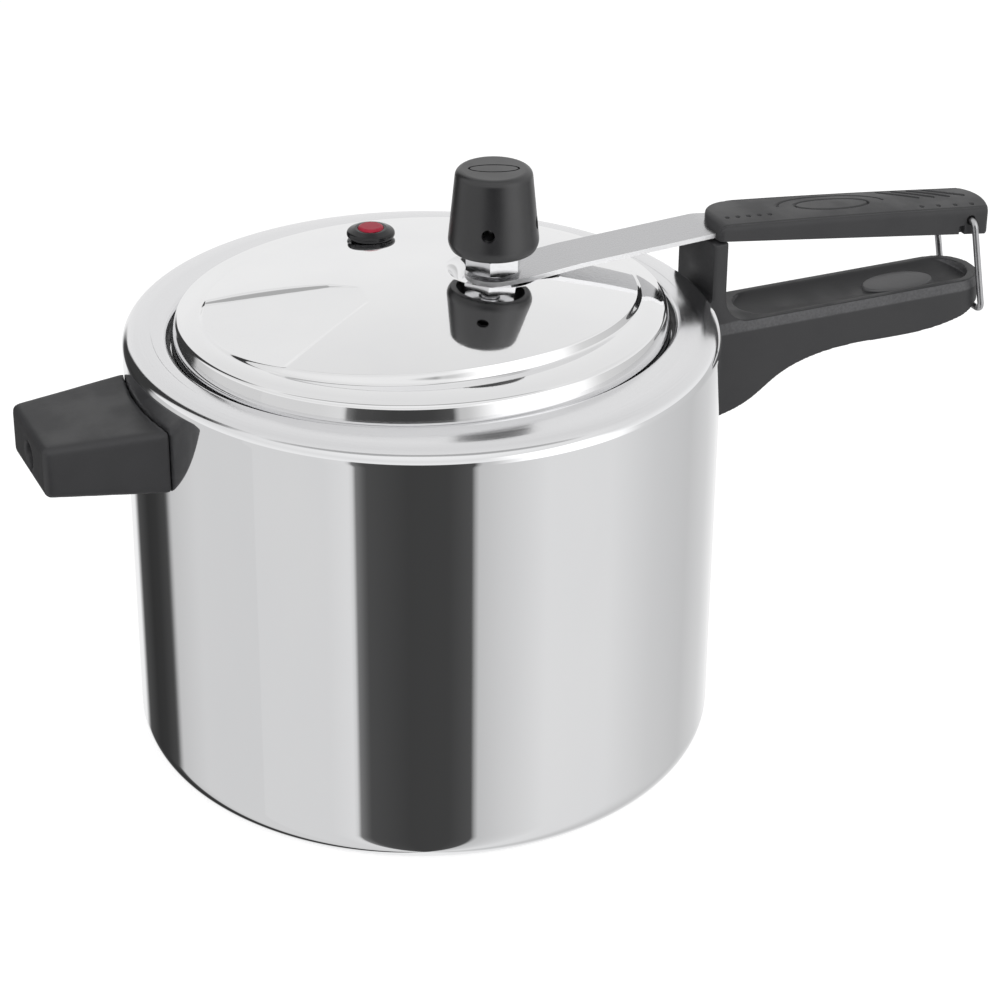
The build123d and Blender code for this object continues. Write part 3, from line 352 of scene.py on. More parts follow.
def lid_aluminium():
    """Nearly mirror bright, with faint wiping marks."""
    material, tree, shader = new_material("lid_polished_aluminium")
    wiped = noise(tree, stretched(tree, (60.0, 900.0, 60.0)), 1.0, 3.0)
    cloud = noise(tree, stretched(tree, (30.0, 30.0, 30.0)), 1.0, 2.0)
    link(tree, ramp_between(tree, wiped, 0.3, 0.75, 0.035, 0.075), shader, "Roughness")
    link(tree, mix_colours(tree, cloud, (0.85, 0.85, 0.86, 1), (0.90, 0.90, 0.90, 1)), shader, "Base Color")
    link(tree, bump(tree, wiped, 0.006, METAL_GRAIN), shader, "Normal")
    shader.inputs["Metallic"].default_value = 1.0
    return material


def grained_plastic(name, dark, light, grain=1500.0, rough=(0.42, 0.58), depth=0.14, shine=0.45):
    """Moulded black plastic with a fine grain and slight wear in its sheen."""
    material, tree, shader = new_material(name)
    place = stretched(tree, (1.0, 1.0, 1.0))
    fine = noise(tree, place, grain, 2.0)
    broad = noise(tree, place, 55.0, 3.0)
    link(tree, mix_colours(tree, broad, dark, light), shader, "Base Color")
    link(tree, ramp_between(tree, broad, 0.3, 0.7, *rough), shader, "Roughness")
    link(tree, bump(tree, fine, depth, PLASTIC_GRAIN), shader, "Normal")
    shader.inputs["Specular IOR Level"].default_value = shine
    return material


def lower_handle_plastic():
    """As the other plastic, with a grainy band round the rim: partly real grain, partly painted light, as if
    the upper sides caught light from above.
    """
    material = grained_plastic("lower_handle_plastic", *BLACK_TONES)
    tree = material.node_tree
    shader = tree.nodes["Principled BSDF"]
    place = add(tree, "TexCoord")
    height = add(tree, "SeparateXYZ", None, {"Vector": place.outputs["Object"]}).outputs["Z"]
    lean = add(tree, "SeparateXYZ", None, {"Vector": place.outputs["Normal"]}).outputs["Z"]
    in_band = ramp_between(tree, height, *BAND_EDGE)
    off_top = ramp_between(tree, lean, 0.75, 0.5)
    off_underside = ramp_between(tree, lean, -0.3, 0.0)
    on_side = maths(tree, "MULTIPLY", off_top, off_underside)
    below_post = ramp_between(tree, height, *POST_FOOT)
    share = maths(tree, "MULTIPLY", maths(tree, "MULTIPLY", in_band, on_side), below_post)
    speckle = noise(tree, stretched(tree, (1.0, 1.0, 1.0)), 900.0, 2.0)
    # Painted light: the speckled band on the upper sides is real grain, also lightened as if it caught light
    # from above.
    grain_and_painted_light_band = mix_colours(tree, speckle, (0.04, 0.04, 0.042, 1), (0.10, 0.10, 0.104, 1))
    plain = shader.inputs["Base Color"].links[0].from_socket
    link(tree, mix_colours(tree, share, plain, grain_and_painted_light_band), shader, "Base Color")
    return material


def brushed_steel(name, dark, light, scale, rough=(0.22, 0.38), depth=0.08):
    material, tree, shader = new_material(name)
    brushed = noise(tree, stretched(tree, scale), 1.0, 4.0, 0.65)
    link(tree, mix_colours(tree, brushed, dark, light), shader, "Base Color")
    link(tree, ramp_between(tree, brushed, 0.3, 0.7, *rough), shader, "Roughness")
    link(tree, bump(tree, brushed, depth, METAL_GRAIN), shader, "Normal")
    shader.inputs["Metallic"].default_value = 1.0
    return material


def strap_steel_painted_edge_highlight():
    """Brushed along its length, with a painted highlight on its rougher cut edges."""
    material = brushed_steel("strap_steel_painted_edge_highlight", (0.5, 0.5, 0.51, 1), (0.6, 0.6, 0.61, 1),
                             (40, 1500, 0), (0.2, 0.3), 0.04)
    tree = material.node_tree
    shader = tree.nodes["Principled BSDF"]
    facing = add(tree, "TexCoord").outputs["Normal"]
    upright = maths(tree, "ABSOLUTE", add(tree, "SeparateXYZ", None, {"Vector": facing}).outputs["Z"])
    # Painted highlight: faces that stand on edge are lightened to near white, as if they caught the light.
    edge = ramp_between(tree, upright, 0.6, 0.3)
    plain = shader.inputs["Base Color"].links[0].from_socket
    link(tree, mix_colours(tree, edge, plain, (0.93, 0.93, 0.94, 1)), shader, "Base Color")
    brushed = shader.inputs["Roughness"].links[0].from_socket
    rough = add(tree, "Mix", None, {0: edge, 2: brushed, 3: EDGE_ROUGHNESS}).outputs[0]
    link(tree, rough, shader, "Roughness")
    return material


def moulded_rubber(name, dark, light, rough, shine=0.5, grain=1200.0):
    material, tree, shader = new_material(name)
    place = stretched(tree, (1.0, 1.0, 1.0))
    mottled = noise(tree, place, 220.0, 3.0)
    link(tree, mix_colours(tree, mottled, dark, light), shader, "Base Color")
    link(tree, ramp_between(tree, mottled, 0.3, 0.7, *rough), shader, "Roughness")
    link(tree, bump(tree, noise(tree, place, grain, 2.0), 0.06, PLASTIC_GRAIN), shader, "Normal")
    shader.inputs["Specular IOR Level"].default_value = shine
    return material


# Mesh helpers

def show(name, vertices, faces, material, body):
    """A smooth mesh piece that rides on a body."""
    mesh = bpy.data.meshes.new(name)
    mesh.from_pydata(vertices, [], faces)
    mesh.validate()
    mesh.shade_smooth()
    piece = bpy.data.objects.new(name, mesh)
    bpy.context.scene.collection.objects.link(piece)
    piece.data.materials.append(material)
    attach(piece, body)
    return piece


def joined_rings(rings):
    """Vertices and faces of rings joined one to the next, closed at each end by a middle point."""
    count = len(rings[0])
    vertices = [point for ring in rings for point in ring]
    faces = []
    for start in range(0, (len(rings) - 1) * count, count):
        for i in range(count):
            j = (i + 1) % count
            faces.append((start + i, start + j, start + count + j, start + count + i))
    for ring, turned in ((0, True), (len(rings) - 1, False)):
        middle = len(vertices)
        vertices.append(sum((Vector(p) for p in rings[ring]), Vector()) / count)
        for i in range(count):
            pair = (ring * count + i, ring * count + (i + 1) % count)
            faces.append((middle, pair[1], pair[0]) if turned else (middle, pair[0], pair[1]))
    return [tuple(v) for v in vertices], faces


def oval_ring(half_x, half_y, z, segments):
    turns = [2 * math.pi * i / segments for i in range(segments)]
    return [(half_x * math.cos(t), half_y * math.sin(t), z) for t in turns]


def corner(radius, z, size, start, end, steps=20):
    """Radius and height along a rounded corner, from one angle to another."""
    shape = []
    for i in range(steps + 1):
        turn = math.radians(start + (end - start) * i / steps)
        shape.append((radius + size * math.cos(turn), z + size * math.sin(turn)))
    return shape


def eased(x, low, high):
    share = min(1.0, max(0.0, (x - low) / (high - low)))
    return share * share * (3 - 2 * share)


# Pot

def between(first, second, steps):
    """Rings between two rings of the pot, without the ends."""
    rings = []
    for i in range(1, steps):
        rings.append(tuple(a + (b - a) * i / steps for a, b in zip(first, second)))
    return rings


def pot_outside():
    """Half widths and height of each ring, from the bottom's middle to the edge of the rim."""
    low = corner(POT_RADIUS - BASE_CORNER, BASE_CORNER, BASE_CORNER, -90, 0)
    roll = (SHOULDER - RIM_CORNER) / math.sin(RIM_LEAN) + RIM_CORNER
    corner_z = POT_HEIGHT - roll + (roll - RIM_CORNER) * math.cos(RIM_LEAN)
    lean = 90 - math.degrees(RIM_LEAN)
    high = corner(POT_RADIUS - RIM_CORNER, corner_z, RIM_CORNER, 0, lean)
    high += corner(POT_RADIUS - SHOULDER, POT_HEIGHT - roll, roll, lean, 90)[1:]
    flat = [(r, 0.0) for r in (*POT_FLAT_RADII, POT_RADIUS - BASE_CORNER - NEAR)]
    wall_low = (POT_RADIUS, BASE_CORNER + NEAR)
    wall_high = (POT_RADIUS, corner_z - NEAR)
    shape = flat + low + [wall_low] + between(wall_low, wall_high, WALL_STEPS) + [wall_high] + high
    return [(r, r, z) for r, z in shape]


def pot_mouth():
    """The flat rim, from the shoulder's circle to the oval mouth, and the mouth's edge."""
    start = (POT_RADIUS - SHOULDER, POT_RADIUS - SHOULDER, POT_HEIGHT)
    end = (MOUTH[0] + MOUTH_EDGE, MOUTH[1] + MOUTH_EDGE, POT_HEIGHT)
    rings = [(start[0] - NEAR, start[1] - NEAR, POT_HEIGHT)]
    rings += between(start, end, RIM_STEPS)
    rings += [(end[0] + NEAR / 3, end[1] + NEAR / 3, POT_HEIGHT)]
    for grow, z in corner(MOUTH_EDGE, POT_HEIGHT - MOUTH_EDGE, -MOUTH_EDGE, -90, 0, MOUTH_STEPS):
        rings.append((MOUTH[0] + grow, MOUTH[1] + grow, z))
    rings.append((MOUTH[0], MOUTH[1], POT_HEIGHT - POT_RIM + NEAR / 3))
    rings.append((MOUTH[0], MOUTH[1], POT_HEIGHT - POT_RIM))
    return rings


def pot_inside():
    inner = POT_RADIUS - POT_WALL
    under_rim = POT_HEIGHT - POT_RIM
    shoulder = SHOULDER - POT_WALL
    base = BASE_INNER_CORNER
    shape = [(inner - shoulder - NEAR, under_rim)]
    shape += corner(inner - shoulder, under_rim - shoulder, shoulder, 90, 0)
    shape += [(inner, under_rim - shoulder - NEAR), (inner, POT_BASE + base + NEAR)]
    shape += corner(inner - base, POT_BASE + base, base, 0, -90)
    shape += [(r, POT_BASE) for r in (inner - base - NEAR, *reversed(POT_FLAT_RADII))]
    return [(r, r, z) for r, z in shape]


def make_pot(material):
    rings = pot_outside() + pot_mouth() + pot_inside()
    vertices, faces = joined_rings([oval_ring(*ring, POT_SEGMENTS) for ring in rings])
    piece = show("pot_shell", vertices, faces, material, "pot")
    piece.data.set_sharp_from_angle(angle=SHEET_SHARP)
    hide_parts("pot_body")


# Lid

def dome_height(x, y):
    return DOME_TOP - DOME_RADIUS + math.sqrt(DOME_RADIUS ** 2 - x * x - y * y)


def recess_depth_inside(x, y):
    """Distance inside the recess outline, negative outside it."""
    nearest = 1.0
    inside = False
    count = len(RECESS_CORNERS)
    for i in range(count):
        (ax, ay), (bx, by) = RECESS_CORNERS[i], RECESS_CORNERS[(i + 1) % count]
        dx, dy = bx - ax, by - ay
        along = max(0.0, min(1.0, ((x - ax) * dx + (y - ay) * dy) / (dx * dx + dy * dy)))
        nearest = min(nearest, math.hypot(x - ax - along * dx, y - ay - along * dy))
        if (ay > y) != (by > y) and x < ax + (y - ay) * dx / dy:
            inside = not inside
    return nearest if inside else -nearest


def recessed(x, y, z):
    """Height with the flat tongue pressed in: a rolled far edge that ends in a crease, a crisp near edge."""
    slope = (RECESS_INNER_Z - LID_LEDGE) / (RECESS_INNER_X - RECESS_OUTER_X)
    floor = max(LID_LEDGE, LID_LEDGE + (x - RECESS_OUTER_X) * slope)
    if floor >= z:
        return z
    far = eased(y, RECESS_NEAR_Y, RECESS_FAR_Y)
    ease = RECESS_NEAR_EASE + (RECESS_FAR_RATIO * (z - floor) - RECESS_NEAR_EASE) * far
    share = min(1.0, max(0.0, (recess_depth_inside(x, y) + ease) / ease))
    rolled = share ** RECESS_FAR_POWER
    stepped = share * share * (3 - 2 * share)
    return z + (floor - z) * (stepped + (rolled - stepped) * far)


def dished(x, y, z):
    """Height with the round dish about the stem and the strap's room beside it."""
    room = STRAP_ROOM_LOW + max(0.0, x - STRAP_ROOM_BEND_X) * STRAP_ROOM_SLOPE
    if x > DISH_CENTRE_X and z > room:
        z += (room - z) * (1 - eased(abs(y), *STRAP_ROOM_HALF))
    away = math.hypot(x - DISH_CENTRE_X, y)
    return DISH_FLOOR + (z - DISH_FLOOR) * eased(away, DISH_FLOOR_RADIUS, DISH_RIM_RADIUS)


def lid_height(x, y):
    """Height of the lid's top inside the plateau: dome, recess, stem dish and the valve's seat."""
    z = dished(x, y, recessed(x, y, dome_height(x, y)))
    away = math.hypot(x - VALVE_SEAT_PLACE[0], y - VALVE_SEAT_PLACE[1])
    on_seat = 1 - eased(away, VALVE_SEAT_RADIUS, VALVE_SEAT_RADIUS + SEAT_EASE)
    return z + (max(z, VALVE_SEAT_Z) - z) * on_seat


def plateau_ring(share):
    """One ring on the plateau, at a share of its oval."""
    flat = oval_ring(PLATEAU[0] * share, PLATEAU[1] * share, 0.0, LID_SEGMENTS)
    return [(x, y, lid_height(x, y)) for x, y, _ in flat]


def step_ring(edge, share):
    """One ring on the pressed step that falls from the plateau's edge to the ledge."""
    outer = oval_ring(PLATEAU[0] + STEP_REACH * share, PLATEAU[1] + STEP_REACH * share, 0.0, LID_SEGMENTS)
    ring = []
    for (x, y, _), (_, _, z) in zip(outer, edge):
        fall = max(0.0, z - LID_LEDGE) * eased(share, 0.0, 1.0)
        ring.append((x, y, z - fall))
    return ring


def lid_top_rings():
    rings = [plateau_ring(i / PLATEAU_RINGS) for i in range(1, PLATEAU_RINGS + 1)]
    edge = rings[-1]
    return rings + [step_ring(edge, i / STEP_RINGS) for i in range(1, STEP_RINGS + 1)]


def lid_outer_rings():
    """From the step's foot over the rounded edge, down the sloping wall and round the flange."""
    flange_top = LID_LOW + LID_FLANGE_THICKNESS
    low = LID_LEDGE - LEDGE_FALL - LID_ROUND
    wall_top = low + LID_ROUND * math.sin(WALL_DRAFT)
    inset = (wall_top - WALL_FOOT) * math.tan(WALL_DRAFT) + LID_ROUND * math.cos(WALL_DRAFT)
    edge = (LID_WALL[0] - inset, LID_WALL[1] - inset)
    foot = (PLATEAU[0] + STEP_REACH, PLATEAU[1] + STEP_REACH)
    lean = math.degrees(math.atan2(2 * LEDGE_FALL, edge[1] - foot[1]))
    rings = []
    for i in range(1, LEDGE_RINGS + 1):
        share = i / LEDGE_RINGS
        half_x = foot[0] + (edge[0] - foot[0]) * share
        half_y = foot[1] + (edge[1] - foot[1]) * share
        rings.append((half_x, half_y, LID_LEDGE - LEDGE_FALL * share * share))
    for grow, z in corner(0.0, low, LID_ROUND, 90 - lean, math.degrees(WALL_DRAFT))[1:]:
        rings.append((edge[0] + grow, edge[1] + grow, z))
    slid = NEAR * math.tan(WALL_DRAFT)
    rings.append((rings[-1][0] + slid, rings[-1][1] + slid, rings[-1][2] - NEAR))
    rings += [(*LID_WALL, WALL_FOOT), (*LID_WALL, flange_top)]
    rings += [(*LID_FLANGE, flange_top), (*LID_FLANGE, LID_LOW)]
    inner = (LID_WALL[0] - LID_SHEET, LID_WALL[1] - LID_SHEET)
    rings += [(*inner, LID_LOW), (*inner, LID_LEDGE - LID_SHEET)]
    return [oval_ring(*ring, LID_SEGMENTS) for ring in rings]


def lid_under_rings():
    """The underside, one sheet below the top."""
    rings = []
    for share in UNDER_SHARES:
        rings.append([(x, y, z - LID_SHEET) for x, y, z in plateau_ring(share)])
    return rings


def make_lid(material):
    vertices, faces = joined_rings(lid_top_rings() + lid_outer_rings() + lid_under_rings())
    faces = [tuple(reversed(face)) for face in faces]
    piece = show("lid_pan", vertices, faces, material, "lid")
    piece.data.set_sharp_from_angle(angle=SHEET_SHARP)
    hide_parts("lid")


# Moulded handles

def away_from_oval(x, y, half):
    """Distance from an oval's line, about nought at its middle."""
    across = math.hypot(x / half[0], y / half[1])
    steepness = math.hypot(x / half[0] ** 2, y / half[1] ** 2)
    return abs(across - 1) * across / max(steepness, TINY)


def away_from_dots(x, y, row):
    start, row_y, step, count = row
    nearest = min(count - 1, max(0, round((x - start) / step)))
    return math.hypot(x - start - nearest * step, y - row_y)


def away_from_grooves(x, y):
    distances = []
    for index in range(GROOVE_COUNT):
        from_x = x - GROOVE_START[0] - index * GROOVE_STEP
        from_y = y - GROOVE_START[1]
        length = GROOVE_RUN[0] ** 2 + GROOVE_RUN[1] ** 2
        along = min(1.0, max(0.0, (from_x * GROOVE_RUN[0] + from_y * GROOVE_RUN[1]) / length))
        distances.append(math.hypot(from_x - along * GROOVE_RUN[0], from_y - along * GROOVE_RUN[1]))
    return min(distances)


def sunk(distance, half_width):
    return 1 - eased(distance, half_width - MARK_SOFT, half_width + MARK_SOFT)


def upper_half(x):
    """Half the upper handle's width, which narrows towards the end."""
    share = (x - UPPER_START) / (UPPER_END - UPPER_START)
    return UPPER_HALF[0] + (UPPER_HALF[1] - UPPER_HALF[0]) * share


def mark_depth(x, y):
    """Depth of the marks: a bare oval, an arc behind it, two rows of dots, slanting grooves, a lip line."""
    from_oval = x - OVAL_CENTRE_X
    oval = sunk(away_from_oval(from_oval, y, OVAL_HALF), OVAL_LINE_HALF)
    arc = sunk(away_from_oval(from_oval, y, ARC_HALF), ARC_LINE_HALF) * eased(y, 0.0, ARC_FADE)
    dots = max(sunk(away_from_dots(x, y, row), DOT_RADIUS) for row in (FRONT_DOTS, END_DOTS))
    groove = sunk(away_from_grooves(x, y), GROOVE_HALF)
    lip = sunk(abs(abs(y) - upper_half(x) + LIP_GROOVE_INSET), LIP_GROOVE_HALF)
    return max(MARK_DEPTH * max(oval, arc, dots), GROOVE_DEPTH * groove, LIP_GROOVE_DEPTH * lip)


def round_off(distance, radius):
    """How far a rounded edge stands back at a distance from its end."""
    if distance >= radius:
        return 0.0
    return radius - math.sqrt(max(0.0, radius ** 2 - (radius - distance) ** 2))


def upper_ring(x):
    """One section of the upper handle, bulging towards the end."""
    last = UPPER_END - UPPER_BULGE
    share = (x - UPPER_START) / (last - UPPER_START)
    tail = round_off(last - x, UPPER_TAIL_ROUND)
    half = upper_half(x)
    near_y = -(half - round_off(x - UPPER_START, UPPER_NEAR_CORNER) - tail)
    far_y = half - round_off(x - UPPER_START, UPPER_FAR_CORNER) - tail
    low = UPPER_LOW[0] + (UPPER_LOW[1] - UPPER_LOW[0]) * share + tail
    ridge = UPPER_TOP[0] + (UPPER_TOP[1] - UPPER_TOP[0]) * share + 4 * UPPER_BOW * share * (1 - share)
    ridge -= tail + round_off(x - UPPER_START, UPPER_NOSE)
    bulge = UPPER_BULGE * eased(x, last - UPPER_BULGE_REACH, last)
    top = []
    under = []
    for i in range(UPPER_ACROSS + 1):
        y = far_y + (near_y - far_y) * i / UPPER_ACROSS
        middle = 1 - (y / half) ** 2
        place = x + bulge * middle
        edge = round_off(min(far_y - y, y - near_y), UPPER_RIDGE_ROUND)
        top.append((place, y, ridge + UPPER_CROWN * middle - edge - mark_depth(place, y)))
        under.append((place, y, low))
    near = []
    far = []
    for i in range(1, UPPER_SIDE_STEPS):
        fall = i / UPPER_SIDE_STEPS
        near.append((top[-1][0], near_y, top[-1][2] + (low - top[-1][2]) * fall))
        far.append((top[0][0], far_y, low + (top[0][2] - low) * fall))
    return top + near + under[::-1] + far


def box_cutter(x_range, y_range, z_range):
    vertices = [(x, y, z) for x in x_range for y in y_range for z in z_range]
    faces = [(0, 1, 3, 2), (4, 6, 7, 5), (0, 4, 5, 1), (2, 3, 7, 6), (0, 2, 6, 4), (1, 5, 7, 3)]
    return vertices, faces


def round_cutter(x, z, radius, y_range):
    rings = []
    for y in y_range:
        turns = [2 * math.pi * i / CUTTER_SEGMENTS for i in range(CUTTER_SEGMENTS)]
        rings.append([(x + radius * math.cos(t), y, z + radius * math.sin(t)) for t in turns])
    return joined_rings(rings)


def cut_from(piece, cutters):
    """Take simple shapes out of a mesh piece."""
    all_vertices = []
    all_faces = []
    for vertices, faces in cutters:
        first = len(all_vertices)
        all_vertices += vertices
        all_faces += [tuple(first + index for index in face) for face in faces]
    mesh = bpy.data.meshes.new("cutter")
    mesh.from_pydata(all_vertices, [], all_faces)
    cutter = bpy.data.objects.new("cutter", mesh)
    bpy.context.scene.collection.objects.link(cutter)
    cut = piece.modifiers.new("cut", "BOOLEAN")
    cut.operation = "DIFFERENCE"
    cut.solver = "EXACT"
    cut.object = cutter
    ready = piece.evaluated_get(bpy.context.evaluated_depsgraph_get())
    shaped = bpy.data.meshes.new_from_object(ready)
    piece.modifiers.clear()
    piece.data = shaped
    bpy.data.objects.remove(cutter)


def make_upper_handle(material):
    last = UPPER_END - UPPER_BULGE
    ends = [UPPER_STEP * share for share in UPPER_END_SHARES]
    stations = [UPPER_START + d for d in ends]
    count = round((last - UPPER_START) / UPPER_STEP)
    stations += [UPPER_START + UPPER_STEP * i for i in range(1, count)]
    stations += [last - d for d in reversed(ends)]
    rings = [upper_ring(x) for x in stations]
    size = len(rings[0])
    vertices = [point for ring in rings for point in ring]
    faces = [tuple(range(size)), tuple(reversed(range(len(vertices) - size, len(vertices))))]
    for start in range(0, len(vertices) - size, size):
        for i in range(size):
            j = (i + 1) % size
            faces.append((start + j, start + i, start + size + i, start + size + j))
    piece = show("upper_handle_grip", vertices, faces, material, "lever")
    cutters = []
    for side in (-1, 1):
        outer = side * (UPPER_HALF[1] + CUTTER_PAST)
        inner = side * (UPPER_HALF[1] - BAIL_HOLE_DEPTH)
        span = (min(outer, inner), max(outer, inner))
        cutters.append(round_cutter(*BAIL_PIVOT, BAIL_HOLE_RADIUS, (span[1], span[0])))
        cutters.append(box_cutter(BAIL_SLOT, span, (BAIL_SLOT_TOP - BAIL_SLOT_DEPTH, BAIL_SLOT_TOP)))
    cut_from(piece, cutters)
    piece.data.set_sharp_from_angle(angle=GRIP_SHARP)
    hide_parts("upper_handle")


def moulded_copy(node, voxel, rounds, material):
    """The CAD piece with its hard edges eased, as a mould leaves them."""
    source = nodes[node]
    rough = bpy.data.objects.new(node + "_rough", source.data.copy())
    bpy.context.scene.collection.objects.link(rough)
    rough.modifiers.new("weld", "WELD").merge_threshold = TINY
    remesh = rough.modifiers.new("even", "REMESH")
    remesh.mode = "VOXEL"
    remesh.voxel_size = voxel
    ease = rough.modifiers.new("ease", "SMOOTH")
    ease.factor = 0.5
    ease.iterations = rounds
    ready = rough.evaluated_get(bpy.context.evaluated_depsgraph_get())
    mesh = bpy.data.meshes.new_from_object(ready)
    bpy.data.objects.remove(rough)
    mesh.name = node + "_moulded"
    mesh.shade_smooth()
    mesh.materials.clear()
    mesh.materials.append(material)
    piece = bpy.data.objects.new(node + "_moulded", mesh)
    bpy.context.scene.collection.objects.link(piece)
    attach(piece, source["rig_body"])
    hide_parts(node)
    return piece


def make_pad(material):
    """The smooth oval in the top of the lower handle."""
    rings = []
    for share, z in PAD_RINGS:
        ring = oval_ring(PAD_HALF[0] * share, PAD_HALF[1] * share, z, PAD_SEGMENTS)
        rings.append([(x + PAD_CENTRE[0], y + PAD_CENTRE[1], z) for x, y, z in ring])
    vertices, faces = joined_rings(rings)
    show("lower_handle_pad", vertices, faces, material, "pot")


# Studio

def world_lookup(tree):
    """Compass direction and height above the horizon, in degrees, of the direction that is seen."""
    direction = add(tree, "TexCoord").outputs["Generated"]
    x, y, z = add(tree, "SeparateXYZ", None, {"Vector": direction}).outputs
    compass = maths(tree, "DEGREES", maths(tree, "ARCTAN2", y, x))
    height = maths(tree, "DEGREES", maths(tree, "ARCSINE", z))
    return compass, height


def tones(tree, value, low, high, stops):
    """Brightness that goes from one stop to the next as a value goes from low to high."""
    share = maths(tree, "DIVIDE", maths(tree, "SUBTRACT", value, low), high - low)
    made = add(tree, "ValToRGB", None, {"Fac": share})
    elements = made.color_ramp.elements
    for place, _ in stops[2:]:
        elements.new((place - low) / (high - low))
    for element, (place, tone) in zip(elements, stops):
        element.position = (place - low) / (high - low)
        element.color = (tone, tone, tone, 1.0)
    return made.outputs["Color"]


def within(tree, value, limits, ease):
    """One between two limits, falling to nought over an ease beyond them."""
    rise = ramp_between(tree, value, limits[0] - ease, limits[0])
    fall = ramp_between(tree, value, limits[1], limits[1] + ease, 1.0, 0.0)
    return maths(tree, "MULTIPLY", rise, fall)


def patch(tree, compass, sides, side_ease, height, ends, end_ease):
    """One inside a patch of the surroundings, falling to nought outside it."""
    across = within(tree, compass, sides, side_ease)
    upright = within(tree, height, ends, end_ease)
    return maths(tree, "MULTIPLY", across, upright)


def studio_colour(tree):
    """Pale surroundings with the dark gaps and the lit panel that a studio shows in polished metal."""
    compass, height = world_lookup(tree)
    low = ramp_between(tree, height, LOW_TOP, LOW_TOP + LOW_EASE, 1.0, 0.0)
    near_ground = tones(tree, compass, -180.0, 180.0, LOW_TONES)
    colour = mix_colours(tree, low, tones(tree, height, 0.0, 90.0, HIGH_TONES), near_ground)
    gap = patch(tree, compass, GAP_COMPASS, GAP_COMPASS_EASE, height, GAP_HEIGHT, GAP_HEIGHT_EASE)
    colour = mix_colours(tree, gap, colour, GAP_TONE)
    flag = patch(tree, compass, FLAG_COMPASS, FLAG_COMPASS_EASE, height, FLAG_HEIGHT, FLAG_HEIGHT_EASE)
    colour = mix_colours(tree, flag, colour, FLAG_TONE)
    panel = patch(tree, compass, PANEL_COMPASS, PANEL_COMPASS_EASE, height, PANEL_HEIGHT, PANEL_HEIGHT_EASE)
    return mix_colours(tree, panel, colour, PANEL_TONE)


def make_world():
    world = bpy.data.worlds.new("studio")
    bpy.context.scene.world = world
    world.use_nodes = True
    tree = world.node_tree
    path = add(tree, "LightPath")
    plain = (AMBIENT, AMBIENT, AMBIENT, 1.0)
    colour = mix_colours(tree, path.outputs["Is Glossy Ray"], plain, studio_colour(tree))
    seen = maths(tree, "MAXIMUM", path.outputs["Is Camera Ray"], path.outputs["Is Transmission Ray"])
    colour = mix_colours(tree, seen, colour, (1.0, 1.0, 1.0, 1.0))
    tree.links.new(colour, tree.nodes["Background"].inputs["Color"])


def make_floor():
    """A pale floor that keeps the soft shadow and otherwise matches the white background."""
    corners = [(-1, -1), (1, -1), (1, 1), (-1, 1)]
    mesh = bpy.data.meshes.new("floor")
    mesh.from_pydata([(FLOOR_HALF * x, FLOOR_HALF * y, 0) for x, y in corners], [], [(0, 1, 2, 3)])
    floor = bpy.data.objects.new("floor", mesh)
    bpy.context.scene.collection.objects.link(floor)
    floor.location.z = FLOOR_LEVEL
    floor.visible_glossy = False
    material, tree, shader = new_material("floor_white")
    shader.inputs["Base Color"].default_value = FLOOR_TONE
    shader.inputs["Roughness"].default_value = 0.9
    shader.inputs["Specular IOR Level"].default_value = 0.0
    path = add(tree, "LightPath")
    glow = add(tree, "Emission", None, {"Color": (1, 1, 1, 1), "Strength": FLOOR_GLOW})
    both = add(tree, "AddShader", None, {0: shader.outputs[0], 1: glow.outputs[0]})
    seen = path.outputs["Is Camera Ray"]
    chosen = add(tree, "MixShader", None, {0: seen, 1: shader.outputs[0], 2: both.outputs[0]})
    tree.links.new(chosen.outputs[0], tree.nodes["Material Output"].inputs["Surface"])
    floor.data.materials.append(material)


def make_lamp(name, place, size, power):
    lamp = bpy.data.lights.new(name, "AREA")
    lamp.size = size
    lamp.energy = power
    lamp.use_shadow = True
    made = bpy.data.objects.new(name, lamp)
    made.location = place
    made.rotation_mode = "QUATERNION"
    made.rotation_quaternion = (LAMP_AIM - made.location).to_track_quat("-Z", "Y")
    made.visible_glossy = False
    bpy.context.scene.collection.objects.link(made)


def make_camera():
    data = bpy.data.cameras.new("camera")
    data.sensor_width = CAMERA_SENSOR
    data.lens = CAMERA_LENS
    data.shift_x = CAMERA_SHIFT_X
    data.clip_start = CAMERA_CLIP[0]
    data.clip_end = CAMERA_CLIP[1]
    camera = bpy.data.objects.new("camera", data)
    camera.location = CAMERA_PLACE
    camera.rotation_mode = "QUATERNION"
    camera.rotation_quaternion = CAMERA_FORWARD.to_track_quat("-Z", "Y")
    bpy.context.scene.collection.objects.link(camera)
    bpy.context.scene.camera = camera


def paint(material, *names):
    """Give CAD pieces that keep their shape a finished material."""
    for name in names:
        mesh = nodes[name].data
        mesh.materials.clear()
        mesh.materials.append(material)


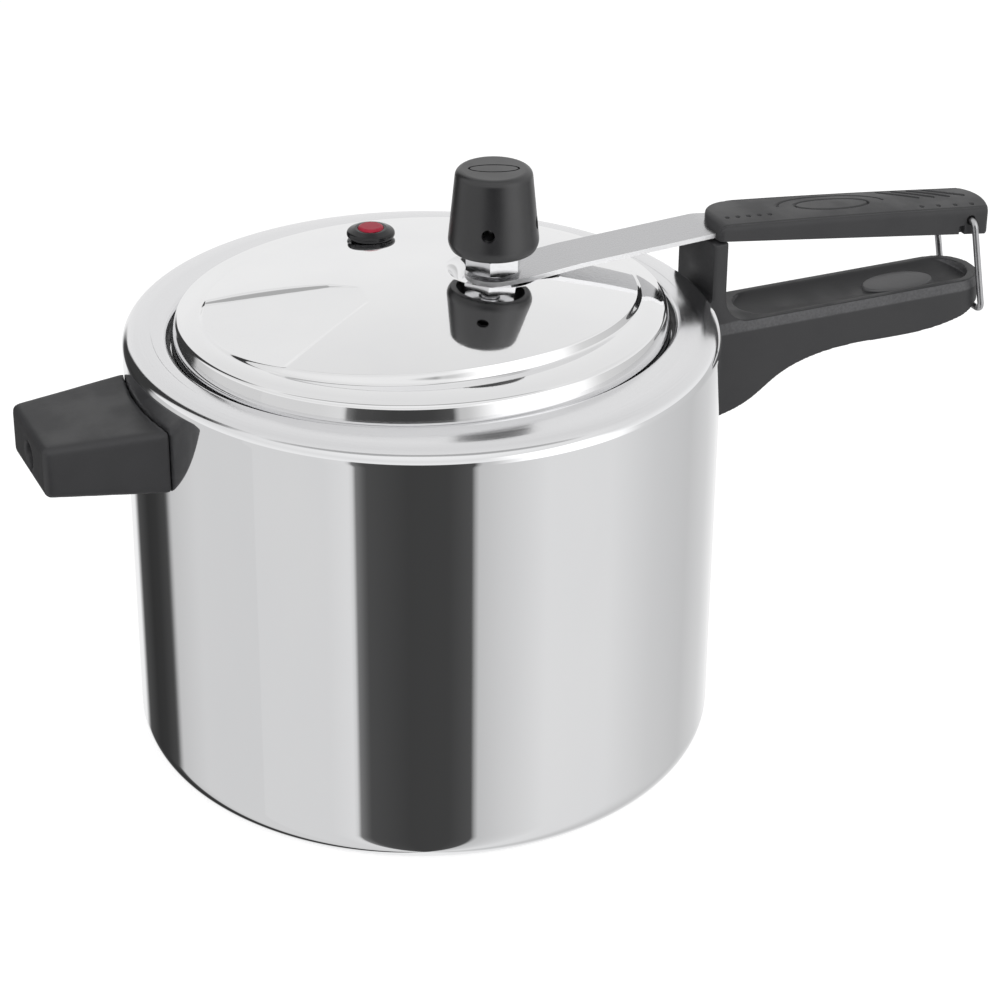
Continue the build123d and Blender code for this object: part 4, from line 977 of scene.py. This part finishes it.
def main():
    black = grained_plastic("black_plastic", *BLACK_TONES)
    cap_black = grained_plastic("cap_plastic", (0.009, 0.009, 0.010, 1), (0.013, 0.013, 0.014, 1),
                                900.0, (0.32, 0.4), 0.05, 0.8)
    pad_grey = grained_plastic("pad_plastic", (0.10, 0.10, 0.103, 1), (0.12, 0.12, 0.123, 1),
                               1500.0, (0.45, 0.55), 0.05)
    plated = brushed_steel("plated_steel", (0.62, 0.62, 0.63, 1), (0.8, 0.8, 0.81, 1),
                           (300, 300, 900), (0.1, 0.18), 0.03)
    wire = brushed_steel("wire_steel", (0.45, 0.45, 0.46, 1), (0.6, 0.6, 0.61, 1),
                         (700, 700, 120), (0.25, 0.4))
    rivet = brushed_steel("rivet_aluminium", (0.7, 0.7, 0.71, 1), (0.84, 0.84, 0.85, 1), (400, 400, 400))
    gasket = moulded_rubber("gasket_rubber", (0.03, 0.03, 0.032, 1), (0.06, 0.06, 0.062, 1), (0.5, 0.65))
    valve = moulded_rubber("valve_rubber", (0.006, 0.006, 0.007, 1), (0.011, 0.011, 0.012, 1),
                           (0.14, 0.22), 0.4)
    red = moulded_rubber("red_silicone", (0.27, 0.008, 0.024, 1), (0.36, 0.016, 0.04, 1), (0.3, 0.4), 0.25)
    make_pot(pot_aluminium())
    make_lid(lid_aluminium())
    moulded_copy("lower_handle", *LOWER_MOULD, lower_handle_plastic())
    make_upper_handle(black)
    moulded_copy("helper_handle", *HELPER_MOULD, black)
    make_pad(pad_grey)
    paint(cap_black, "regulator_cap")
    paint(plated, "handle_bracket", "helper_bracket", "lower_handle_screw", "lower_handle_washer",
          "helper_handle_screw", "helper_handle_washer", "upper_handle_screws", "stem_lock_nut", "strap_nut",
          "regulator_weight", "regulator_needle", "vent_stem")
    paint(strap_steel_painted_edge_highlight(), "spring_strap")
    paint(wire, "latch_bail")
    paint(rivet, "handle_bracket_rivets", "helper_bracket_rivets")
    paint(gasket, "lid_gasket", "stem_seal")
    paint(valve, "safety_valve_body")
    paint(red, "safety_plug")
    make_world()
    make_floor()
    for lamp in LAMPS:
        make_lamp(*lamp)
    make_camera()


bpy.context.scene.view_settings.view_transform = "Standard"
main()
